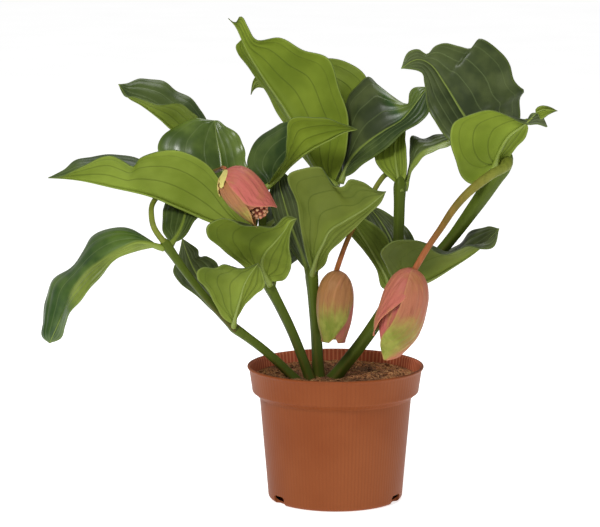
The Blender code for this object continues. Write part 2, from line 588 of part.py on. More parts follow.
def bud_surface(bud, bract, rows, columns):
    """Points of one bract, base to tip, wrapped round the bud's axis, millimetres."""
    facing, half_width, length, layer = bract[1:]
    base, tip = Vector(bud["base"]), Vector(bud["tip"])
    axis = (tip - base).normalized()
    front = Vector((0.0, -1.0, 0.0))
    front = (front - axis * front.dot(axis)).normalized()
    right = front.cross(axis).normalized()
    if right.x < 0:
        right = -right
    stations, swell = zip(*BUD_PROFILE, (1.0, bud["mouth"]))
    start = INNER_BRACT_START if layer < 1.0 else 0.0
    cuts, share = zip(*BRACT_OUTLINE)
    surface = np.zeros((rows + 1, columns + 1, 3))
    for row in range(rows + 1):
        s = row / rows
        reach = start + s * (length - start)
        radius = bud["radius"] * layer * np.interp(reach, stations, swell)
        spread = math.radians(half_width) * np.interp(s, cuts, share)
        centre = base + (tip - base) * reach
        for column in range(columns + 1):
            angle = math.radians(facing) + spread * (2 * column / columns - 1)
            outward = front * math.cos(angle) + right * math.sin(angle)
            surface[row, column] = centre + outward * radius
    return surface


def build_cluster(parts, cutters):
    """The flower buds: small balls joined to a core."""
    bm = bmesh.new()
    bmesh.ops.create_uvsphere(bm, u_segments=12, v_segments=8, radius=MM)
    bmesh.ops.scale(bm, verts=bm.verts[:], vec=CLUSTER_RADII)
    bmesh.ops.translate(bm, verts=bm.verts[:], vec=Vector(CLUSTER_CENTRE) * MM)
    mesh = bpy.data.meshes.new("flower_cluster")
    bm.to_mesh(mesh)
    bm.free()
    cluster = new_object("flower_cluster", mesh, "flower_bud_skin", parts)
    for number in range(CLUSTER_BUDS):
        turn = number * math.pi * (3 - math.sqrt(5))
        height = -1 + 1.4 * (number + 0.5) / CLUSTER_BUDS
        reach = math.sqrt(1 - height * height)
        way = Vector((reach * math.cos(turn), reach * math.sin(turn), height))
        place = Vector(CLUSTER_CENTRE) + Vector(w * r for w, r in zip(way, CLUSTER_RADII))
        bm = bmesh.new()
        bmesh.ops.create_icosphere(bm, subdivisions=1, radius=CLUSTER_BUD_RADIUS * MM)
        bmesh.ops.translate(bm, verts=bm.verts[:], vec=place * MM)
        ball = bpy.data.meshes.new("flower_bud")
        bm.to_mesh(ball)
        bm.free()
        cutter = new_object("flower_bud_%d" % number, ball, None, cutters)
        hide_cutter(cutter)
        join = cluster.modifiers.new("bud %d" % number, "BOOLEAN")
        join.operation = "UNION"
        join.object = cutter
    return cluster


def build_stems(parts, cutters):
    """Each stem with a fatter twin that later pieces are cut clear of."""
    twins = []
    for name, stem in STEMS.items():
        mesh_object = as_mesh(tube_curve(name, stem, 0.0, None, parts), parts)
        mesh_object.data.materials.append(new_material(name + "_stem_skin", "stem_skin"))
        cut_clear(mesh_object, twins)
        twin = as_mesh(tube_curve("clear_" + name, stem, CLEARANCE, None, cutters), cutters)
        hide_cutter(twin)
        twins.append(twin)
    return twins


def main():
    clear_scene()
    parts = new_collection("flowering_pot_plant")
    cutters = new_collection("cutters")
    build_pot(parts, cutters)
    twins = build_stems(parts, cutters)
    build_soil(parts, twins)
    for name, leaf in LEAVES.items():
        surface = leaf_surface(leaf, LEAF_ROWS, HALF_LEAF_COLUMNS)
        cut_clear(sheet_object(name, surface, LEAF_THICKNESS, "leaf_blade", parts), twins)
    for side, bud in BUDS.items():
        for bract in bud["bracts"]:
            surface = bud_surface(bud, bract, BRACT_ROWS, BRACT_COLUMNS)
            name = "bract_%s_%s" % (side, bract[0])
            cut_clear(sheet_object(name, surface, BRACT_THICKNESS, "bract_skin", parts), twins)
    build_cluster(parts, cutters)


main()
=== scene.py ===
# %% [markdown]
# # A flowering house plant in its nursery pot
# The plant has big sessile leaves in pairs, each folded along its midrib, on arching angular stems,
# and three hanging buds wrapped in pink bracts. The solids that carry it are loaded first as a fixed
# frame. Every visible piece is then remade finely over its solid, in the same place.

# %% Load the frame
import json
import math

import bpy
import numpy as np
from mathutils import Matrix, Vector

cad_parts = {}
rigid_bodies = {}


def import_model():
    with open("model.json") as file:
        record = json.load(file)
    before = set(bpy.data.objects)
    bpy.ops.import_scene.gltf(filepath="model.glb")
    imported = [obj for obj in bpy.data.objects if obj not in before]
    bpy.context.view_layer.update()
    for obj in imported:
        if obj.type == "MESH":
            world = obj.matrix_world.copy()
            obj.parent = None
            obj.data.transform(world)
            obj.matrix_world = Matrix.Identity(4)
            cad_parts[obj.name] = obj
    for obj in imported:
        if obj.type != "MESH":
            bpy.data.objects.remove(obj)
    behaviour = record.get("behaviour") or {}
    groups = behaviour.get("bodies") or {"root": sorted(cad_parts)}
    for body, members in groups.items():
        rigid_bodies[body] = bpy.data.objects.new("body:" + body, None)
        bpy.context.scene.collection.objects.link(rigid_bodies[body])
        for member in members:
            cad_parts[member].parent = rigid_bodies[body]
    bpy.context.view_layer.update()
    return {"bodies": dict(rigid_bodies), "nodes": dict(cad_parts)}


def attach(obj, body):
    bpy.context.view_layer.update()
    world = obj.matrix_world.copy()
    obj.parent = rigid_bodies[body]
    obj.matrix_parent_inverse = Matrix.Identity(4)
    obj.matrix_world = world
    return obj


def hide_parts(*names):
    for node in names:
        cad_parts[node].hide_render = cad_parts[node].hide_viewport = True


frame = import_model()
MM = 0.001
BODY = next(iter(frame["bodies"]))
print("solids:", len(frame["nodes"]), "body:", BODY)

# %% [markdown]
# ## The camera
# The photograph was taken from a little above the pot's rim, from about two and a half metres away
# with a long lens, so the leaves hardly change size with distance. The camera is placed the same way
# before any modelling, so that each piece can be judged in its view from the start.

# %% Camera
CAMERA_AIM = Vector((-0.0342, 0.0, 0.2285))
CAMERA_DISTANCE = 2.5
CAMERA_PITCH = math.radians(8.8)
CAMERA_LENS = 156.6
SENSOR_WIDTH = 36.0

camera_data = bpy.data.cameras.new("camera")
camera_data.lens = CAMERA_LENS
camera_data.sensor_width = SENSOR_WIDTH
camera = bpy.data.objects.new("camera", camera_data)
bpy.context.scene.collection.objects.link(camera)
view = Vector((0.0, math.cos(CAMERA_PITCH), -math.sin(CAMERA_PITCH)))
camera.location = CAMERA_AIM - view * CAMERA_DISTANCE
camera.rotation_euler = (math.pi / 2 - CAMERA_PITCH, 0.0, 0.0)
bpy.context.scene.camera = camera
print("camera at", [round(v, 3) for v in camera.location])

# %% [markdown]
# ## Shader maths as plain expressions
# A leaf's finish is mostly arithmetic on distances from its veins. Wrapping a node socket in a small
# class lets that arithmetic be written as Python: `1 - mask` adds its own Math node. Everything that
# isn't arithmetic comes from one method that takes a node's type, its settings and its inputs.

# %% Wires and finishes
class Wire:
    """One output socket, with arithmetic that adds Math nodes."""

    def __init__(self, finish, socket):
        self.finish = finish
        self.socket = socket

    def math(self, operation, first, second=None):
        values = [first] if second is None else [first, second]
        return self.finish.node("ShaderNodeMath", {"operation": operation}, dict(enumerate(values)))

    def __add__(self, other):
        return self.math("ADD", self, other)

    __radd__ = __add__

    def __sub__(self, other):
        return self.math("SUBTRACT", self, other)

    def __rsub__(self, other):
        return self.math("SUBTRACT", other, self)

    def __mul__(self, other):
        return self.math("MULTIPLY", self, other)

    __rmul__ = __mul__

    def __abs__(self):
        return self.math("ABSOLUTE", self)


class Finish:
    """A material with a Principled shader, built node by node."""

    def __init__(self, name, **constants):
        self.material = bpy.data.materials.new(name)
        self.material.use_nodes = True
        self.tree = self.material.node_tree
        self.shader = self.tree.nodes["Principled BSDF"]
        for key, value in constants.items():
            self.shader.inputs[key.replace("_", " ")].default_value = value

    def node(self, kind, settings=None, inputs=None, output=0):
        made = self.tree.nodes.new(kind)
        for key, value in (settings or {}).items():
            setattr(made, key, value)
        for key, value in (inputs or {}).items():
            if isinstance(value, Wire):
                self.tree.links.new(value.socket, made.inputs[key])
            else:
                made.inputs[key].default_value = value
        return Wire(self, made.outputs[output])

    def attribute(self, name):
        return self.node("ShaderNodeAttribute", {"attribute_name": name}, output="Fac")

    def place(self):
        return self.node("ShaderNodeTexCoord", output="Object")

    def scaled(self, vector, scale):
        return self.node("ShaderNodeVectorMath", {"operation": "MULTIPLY"}, {0: vector, 1: scale})

    def noise(self, vector, scale, detail=3.0, roughness=0.55):
        inputs = {"Vector": vector, "Scale": scale, "Detail": detail, "Roughness": roughness}
        return self.node("ShaderNodeTexNoise", None, inputs)

    def fade(self, value, start, end):
        """0 before start and 1 past end, eased between them."""
        inputs = {"Value": value, "From Min": start, "From Max": end}
        return self.node("ShaderNodeMapRange", {"interpolation_type": "SMOOTHSTEP"}, inputs)

    def mix(self, factor, first, second):
        settings = {"data_type": "RGBA", "clamp_factor": True}
        return self.node("ShaderNodeMix", settings, {0: factor, 6: first, 7: second}, output=2)

    def bump(self, height, strength, distance):
        inputs = {"Height": height, "Strength": strength, "Distance": distance}
        return self.node("ShaderNodeBump", None, inputs)

    def feed(self, socket, wire):
        self.tree.links.new(wire.socket, self.shader.inputs[socket])


def colour(red, green, blue):
    """A display colour, 0 to 255, as the linear values that a shader takes."""
    def linear(value):
        share = value / 255
        return share / 12.92 if share <= 0.04045 else ((share + 0.055) / 1.055) ** 2.4
    return (linear(red), linear(green), linear(blue), 1.0)


print("shader maths ready")

# %% [markdown]
# ## The leaf's two faces
# The upper face is dark, waxy and glossy, with paler lines where the veins sink in: partly the veins'
# own paler colour and partly a painted highlight along them. The underside is a light yellow-green and
# matte, and its veins stand out as darker lines of painted shade. Each leaf carries its distances from
# its veins as attributes, in millimetres, so the lines stay on the veins however the leaf bends.

# %% Leaf finishes
VEIN_HALF_WIDTH = 0.55
VEIN_STRENGTHS = (0.95, 1.0, 0.6)


def vein_lines(finish):
    """1 on the side veins, falling to 0 just beside them."""
    lines = None
    for number, strength in enumerate(VEIN_STRENGTHS):
        distance = abs(finish.attribute("vein_%d" % number))
        line = (1 - finish.fade(distance, VEIN_HALF_WIDTH * 0.4, VEIN_HALF_WIDTH * 1.8)) * strength
        lines = line if lines is None else lines.math("MAXIMUM", lines, line)
    return lines


def leaf_top():
    finish = Finish("leaf_top_face", Specular_IOR_Level=0.18, Coat_Roughness=0.24)
    place = finish.place()
    tone = finish.attribute("top_tone")
    # Tones are partly the leaf's own green and partly painted light and shade; tones above 1 paint the
    # upper face paler where it lies in light or shows a sheen.
    bright = finish.fade(tone, 1.0, 2.0)
    deep = finish.mix(tone, colour(48, 56, 31), colour(38, 66, 18))
    deep = finish.mix(bright, deep, colour(96, 112, 34))
    lit = finish.mix(tone, colour(76, 84, 48), colour(82, 106, 42))
    lit = finish.mix(bright, lit, colour(136, 152, 62))
    cloud = finish.noise(place, 26.0)
    base = finish.mix(finish.fade(cloud, 0.35, 0.70), deep, lit)
    edge = finish.fade(finish.attribute("edge"), 3.0, 0.4)
    base = finish.mix(edge * 0.35, base, colour(110, 128, 52))
    lines = vein_lines(finish)
    # Paler vein lines: partly the veins' own colour, partly a painted highlight.
    base = finish.mix(lines * 0.22, base, colour(120, 136, 84))
    rib = 1 - finish.fade(finish.attribute("rib"), 0.6, 1.4)
    base = finish.mix(rib * 0.6, base, colour(120, 138, 66))
    finish.feed("Base Color", base)
    fine = finish.noise(place, 420.0, 2.0)
    finish.feed("Roughness", cloud * 0.16 + 0.27)
    finish.feed("Coat Weight", finish.fade(tone, 0.4, 1.3) * 0.45 + 0.03)
    finish.feed("Normal", finish.bump(fine * 0.35 - lines, 0.35, 0.0006))
    return finish.material


def leaf_underside():
    finish = Finish("leaf_underside", Specular_IOR_Level=0.1)
    place = finish.place()
    tone = finish.attribute("under_tone")
    # Tones are partly the leaf's own green and partly painted light and shade; tones above 1 paint the
    # underside paler where it lies in light.
    bright = finish.fade(tone, 1.0, 2.0)
    shade = finish.mix(tone, colour(70, 82, 28), colour(100, 118, 29))
    shade = finish.mix(bright, shade, colour(136, 154, 56))
    light = finish.mix(tone, colour(96, 106, 42), colour(128, 146, 44))
    light = finish.mix(bright, light, colour(158, 176, 88))
    cloud = finish.noise(place, 18.0)
    base = finish.mix(finish.fade(cloud, 0.30, 0.72), shade, light)
    glow = 1 - finish.fade(finish.attribute("rib"), 1.0, 9.0)
    base = finish.mix(glow * 0.25, base, colour(134, 152, 58))
    lines = vein_lines(finish)
    # Darker vein lines on the underside: painted shade along the veins.
    base = finish.mix(lines * 0.5, base, colour(72, 86, 24))
    # Paler margin: a painted highlight where light catches the leaf's edge.
    edge = finish.fade(finish.attribute("edge"), 2.6, 0.4)
    base = finish.mix(edge * 0.25, base, colour(150, 164, 90))
    base = finish.mix(finish.attribute("tip") * 0.7, base, colour(70, 78, 38))
    finish.feed("Base Color", base)
    net = finish.noise(place, 240.0, 3.0)
    finish.feed("Roughness", net * 0.15 + 0.50)
    finish.feed("Normal", finish.bump(net * 0.4 + lines, 0.4, 0.0007))
    return finish.material


def leaf_rib():
    finish = Finish("leaf_midrib", Specular_IOR_Level=0.4)
    tone = finish.attribute("under_tone")
    base = finish.mix(tone, colour(120, 134, 60), colour(130, 148, 52))
    streak = finish.noise(finish.place(), 160.0)
    finish.feed("Base Color", finish.mix(streak * 0.4, base, colour(88, 102, 34)))
    finish.feed("Roughness", streak * 0.2 + 0.38)
    return finish.material


LEAF_FACES = [leaf_top(), leaf_underside(), leaf_rib()]
print("leaf finishes:", [face.name for face in LEAF_FACES])

# %% [markdown]
# ## One way to make every leaf
# A leaf is a long grid bent over three given curves: its midrib and its two margins. The curves
# give the arch, the fold and the waves of the edge that the real leaf shows. A grid primitive is the
# start, and its vertices are then placed row by row, because no operator can lay a sheet over curves.
# Columns of the grid run along the side veins, so the cushions between veins are real relief.

# %% Smooth curves
CURVE_SAMPLES = 600


def smooth_curve(points, count):
    """Points evenly spaced along a smooth curve through the given points."""
    p = np.array(points, float)
    steps = np.sqrt(np.linalg.norm(np.diff(p, axis=0), axis=1))
    knots = np.concatenate([[0.0], np.cumsum(steps)])
    slopes = np.zeros_like(p)
    for i in range(1, len(p) - 1):
        before, after = (p[i] - p[i - 1]) / steps[i - 1], (p[i + 1] - p[i]) / steps[i]
        slopes[i] = (before * steps[i] + after * steps[i - 1]) / (steps[i - 1] + steps[i])
    slopes[0] = 1.5 * (p[1] - p[0]) / steps[0] - 0.5 * slopes[1]
    slopes[-1] = 1.5 * (p[-1] - p[-2]) / steps[-1] - 0.5 * slopes[-2]
    t = np.linspace(0.0, knots[-1], CURVE_SAMPLES)
    k = np.clip(np.searchsorted(knots, t) - 1, 0, len(p) - 2)
    step = steps[k][:, None]
    u = (t - knots[k])[:, None] / step
    curve = ((1 + 2 * u) * (1 - u) ** 2 * p[k] + u * (1 - u) ** 2 * step * slopes[k]
             + u * u * (3 - 2 * u) * p[k + 1] + u * u * (u - 1) * step * slopes[k + 1])
    arc = np.concatenate([[0.0], np.cumsum(np.linalg.norm(np.diff(curve, axis=0), axis=1))])
    stations = np.linspace(0.0, arc[-1], count)
    return np.stack([np.interp(stations, arc, curve[:, axis]) for axis in range(3)], axis=1)


def ease(value):
    """0 below 0 and 1 above 1, with a soft start and end between."""
    value = np.clip(value, 0.0, 1.0)
    return value * value * (3 - 2 * value)


def deselect():
    bpy.ops.object.select_all(action="DESELECT")


def select_only(piece):
    deselect()
    piece.select_set(True)
    bpy.context.view_layer.objects.active = piece


def grid_piece(name, surface):
    """A grid primitive with its vertices laid on the surface's points, given in millimetres."""
    rows, columns = surface.shape[:2]
    deselect()
    bpy.ops.mesh.primitive_grid_add(x_subdivisions=columns - 1, y_subdivisions=rows - 1, size=1.0)
    piece = bpy.context.object
    piece.name = name
    piece.data.name = name
    piece.data.vertices.foreach_set("co", (surface.reshape(-1, 3) * MM).ravel())
    return piece


def write_attribute(piece, name, values):
    layer = piece.data.attributes.new(name, "FLOAT", "POINT")
    layer.data.foreach_set("value", np.ascontiguousarray(values, np.float32).ravel())


def finish_piece(piece):
    """Rides the finished piece on the plant's body."""
    select_only(piece)
    bpy.ops.object.shade_smooth()
    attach(piece, BODY)
    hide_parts(piece.name.replace("fine_", ""))


print("leaf helpers ready")

# %% [markdown]
# ## Half a leaf
# On the real leaf three veins run beside the midrib on each half, and the blade swells into a cushion
# between them. A displacement map could do that, but rows and columns that follow the veins give the
# same relief with far fewer faces, and their distances are at hand for the finish.

# %% One half of the blade
LEAF_ROWS = 84
COLUMNS_PER_CUSHION = 4
VEIN_SHARES = (0.27, 0.56, 0.83)
VEIN_START = 0.30
VEIN_SPREAD_LENGTH = 0.28
CUSHION_HEIGHT = 0.8
CUSHION_FULL_WIDTH = 22.0
MARGIN_CUSHION_SHARE = 0.4
LEAF_BASE_WIDTH = 3.0
LEAF_TIP_WIDTH = 0.5
RIB_GROOVE = 2.2
RIB_GROOVE_AT_TIP = 0.35
WAVE_COUNT = 5
WAVE_SHIFT = 0.31
WAVE_HEIGHT = 0.9
DARK_TIP = (0.90, 0.09)
TONE_TURN = (0.56, 0.18)


def half_leaf(leaf, side, sign, bulge, rib, along):
    """The half's points and its distances from the veins and the margin, row by row."""
    rows = LEAF_ROWS + 1
    cushions = len(VEIN_SHARES) + 1
    columns = cushions * COLUMNS_PER_CUSHION
    margin = smooth_curve([leaf["rib"][0]] + leaf[side] + [leaf["rib"][-1]], rows)
    across = margin - rib
    across[0] = across[1] / np.linalg.norm(across[1]) * LEAF_BASE_WIDTH
    across[-1] = across[-2] / np.linalg.norm(across[-2]) * LEAF_TIP_WIDTH
    width = np.linalg.norm(across, axis=1)[:, None]
    up = np.cross(across, along) * sign
    up /= np.linalg.norm(up, axis=1)[:, None]
    station = np.linspace(0, 1, rows)[:, None]
    spread = VEIN_START + (1 - VEIN_START) * ease(station / VEIN_SPREAD_LENGTH)
    side_veins = [spread * share for share in VEIN_SHARES]
    veins = np.hstack([np.zeros_like(spread), *side_veins, np.ones_like(spread)])
    size = np.minimum(width / CUSHION_FULL_WIDTH, 1.0)
    points, shares = [], []
    for column in range(columns + 1):
        cushion, part = divmod(column, COLUMNS_PER_CUSHION)
        if cushion == cushions:
            cushion, part = cushions - 1, COLUMNS_PER_CUSHION
        part = part / COLUMNS_PER_CUSHION
        t = veins[:, cushion:cushion + 1] * (1 - part) + veins[:, cushion + 1:cushion + 2] * part
        at_margin = MARGIN_CUSHION_SHARE if cushion == cushions - 1 else 1.0
        cushion_rise = CUSHION_HEIGHT * size * np.sin(math.pi * part) * at_margin
        waves = np.sin(2 * math.pi * (WAVE_COUNT * station + WAVE_SHIFT * sign))
        ripple = WAVE_HEIGHT * size * t ** 3 * waves
        lift = bulge * width * 4 * t * (1 - t) + cushion_rise + ripple
        points.append(rib + across * t + up * lift)
        shares.append(t)
    t = np.hstack(shares)
    rib_half_width = RIB_GROOVE * (1 - station) ** 1.5 + RIB_GROOVE_AT_TIP
    half = 0 if sign < 0 else 1
    # The tones are partly the leaf's own green and partly painted light and shade.
    tone = leaf["tones"][half]
    tip_tone = leaf.get("tip_tones", leaf["tones"])[half]
    turn = ease((station - TONE_TURN[0]) / TONE_TURN[1])
    measures = {
        "rib": t * width / rib_half_width,
        "edge": (1 - t) * width,
        "tip": ease((station - DARK_TIP[0]) / DARK_TIP[1]) + 0 * t,
        "top_tone": tone + (tip_tone - tone) * turn + 0 * t}
    for number in range(len(VEIN_SHARES)):
        measures["vein_%d" % number] = (t - veins[:, number + 1:number + 2]) * width
    return np.stack(points, axis=1), measures


print("rows and columns of half a leaf:", LEAF_ROWS, (len(VEIN_SHARES) + 1) * COLUMNS_PER_CUSHION)

# %% [markdown]
# ## Tubes
# Midribs, stems and flower stalks are all tubes whose thickness changes along them. A curve with a
# bevel would be quicker, but it can't carry wings, so a grid is rolled round the centre line instead.
# Its seam is merged and its two ends are filled, so the tube is closed.

# %% Roll a grid into a tube
MERGE_DISTANCE = 0.00001
ROLL_START = (0.3, 1.0, 0.2)


def tube_piece(name, centre, radii, sides, wings=0.0):
    """A grid rolled into a tube round the centre line and closed at its ends."""
    along = np.gradient(centre, axis=0)
    along /= np.linalg.norm(along, axis=1)[:, None]
    start = np.cross(along[0], ROLL_START)
    frames = []
    for way in along:
        start = start - way * np.dot(start, way)
        start /= np.linalg.norm(start)
        frames.append((start, np.cross(way, start)))
    turns = np.linspace(0, 2 * math.pi, sides + 1)
    shape = 1 + wings * np.cos(4 * turns)
    rings = [c + r * (np.outer(np.cos(turns) * shape, a) + np.outer(np.sin(turns) * shape, b))
             for c, r, (a, b) in zip(centre, radii, frames)]
    piece = grid_piece(name, np.array(rings))
    select_only(piece)
    bpy.ops.object.mode_set(mode="EDIT")
    bpy.ops.mesh.select_all(action="SELECT")
    bpy.ops.mesh.remove_doubles(threshold=MERGE_DISTANCE)
    bpy.ops.mesh.select_all(action="DESELECT")
    bpy.ops.mesh.select_non_manifold()
    bpy.ops.mesh.edge_face_add()
    bpy.ops.mesh.select_all(action="SELECT")
    bpy.ops.mesh.normals_make_consistent(inside=False)
    bpy.ops.object.mode_set(mode="OBJECT")
    return piece


print("tube helper ready")

# %% [markdown]
# ## The whole leaf
# The two halves meet at the midrib as one grid. Solidify gives the blade its thickness and, with a
# material offset, its own underside finish. The midrib stands out under the real leaf as a tapering
# rod that runs on into the stem, so it is a tube of its own, joined to the blade.

# %% Put a leaf together
LEAF_THICKNESS = 0.7
RIB_RADII = (1.7, 0.45)
RIB_SIDES = 10
RIB_DROP = 0.55
STALK_REACH = 5.0
STALK_RADIUS = 3.2
STALK_ROWS = 9.0


def rib_tube(name, rib, below):
    """The rounded midrib under the leaf, tapering to the tip."""
    radii = np.linspace(*RIB_RADII, len(rib))
    centre = rib + below * radii[:, None] * RIB_DROP
    way = (centre[0] - centre[2]) / np.linalg.norm(centre[0] - centre[2])
    centre = np.vstack([centre[0] + way * STALK_REACH, centre[0] + way * STALK_REACH / 2, centre])
    radii = radii + (STALK_RADIUS - RIB_RADII[0]) * np.exp(-np.arange(len(radii)) / STALK_ROWS)
    radii = np.concatenate([[STALK_RADIUS, STALK_RADIUS], radii])
    return tube_piece(name, centre, radii, RIB_SIDES)


def make_leaf(name, leaf):
    rib = smooth_curve(leaf["rib"], LEAF_ROWS + 1)
    along = np.gradient(rib, axis=0)
    left, left_measures = half_leaf(leaf, "left", -1, leaf["bulge"][0], rib, along)
    right, right_measures = half_leaf(leaf, "right", 1, leaf["bulge"][1], rib, along)
    surface = np.concatenate([left[:, ::-1], right[:, 1:]], axis=1)
    blade = grid_piece("fine_" + name, surface)
    for key, values in left_measures.items():
        write_attribute(blade, key, np.hstack([values[:, ::-1], right_measures[key][:, 1:]]))
    for material in LEAF_FACES:
        blade.data.materials.append(material)
    select_only(blade)
    wall = blade.modifiers.new("thickness", "SOLIDIFY")
    wall.thickness = LEAF_THICKNESS * MM
    wall.offset = -1.0
    wall.material_offset = 1
    bpy.ops.object.modifier_apply(modifier=wall.name)
    across = surface[:, -1] - surface[:, 0]
    below = -np.cross(across, along)
    below /= np.linalg.norm(below, axis=1)[:, None]
    tube = rib_tube("rib_" + name, rib, below)
    for material in LEAF_FACES:
        tube.data.materials.append(material)
    tube.data.polygons.foreach_set("material_index", [2] * len(tube.data.polygons))
    deselect()
    tube.select_set(True)
    blade.select_set(True)
    bpy.context.view_layer.objects.active = blade
    bpy.ops.object.join()
    count = len(blade.data.vertices)
    write_attribute(blade, "under_tone", np.full(count, leaf["tones"][2]))
    finish_piece(blade)


print("leaf maker ready")
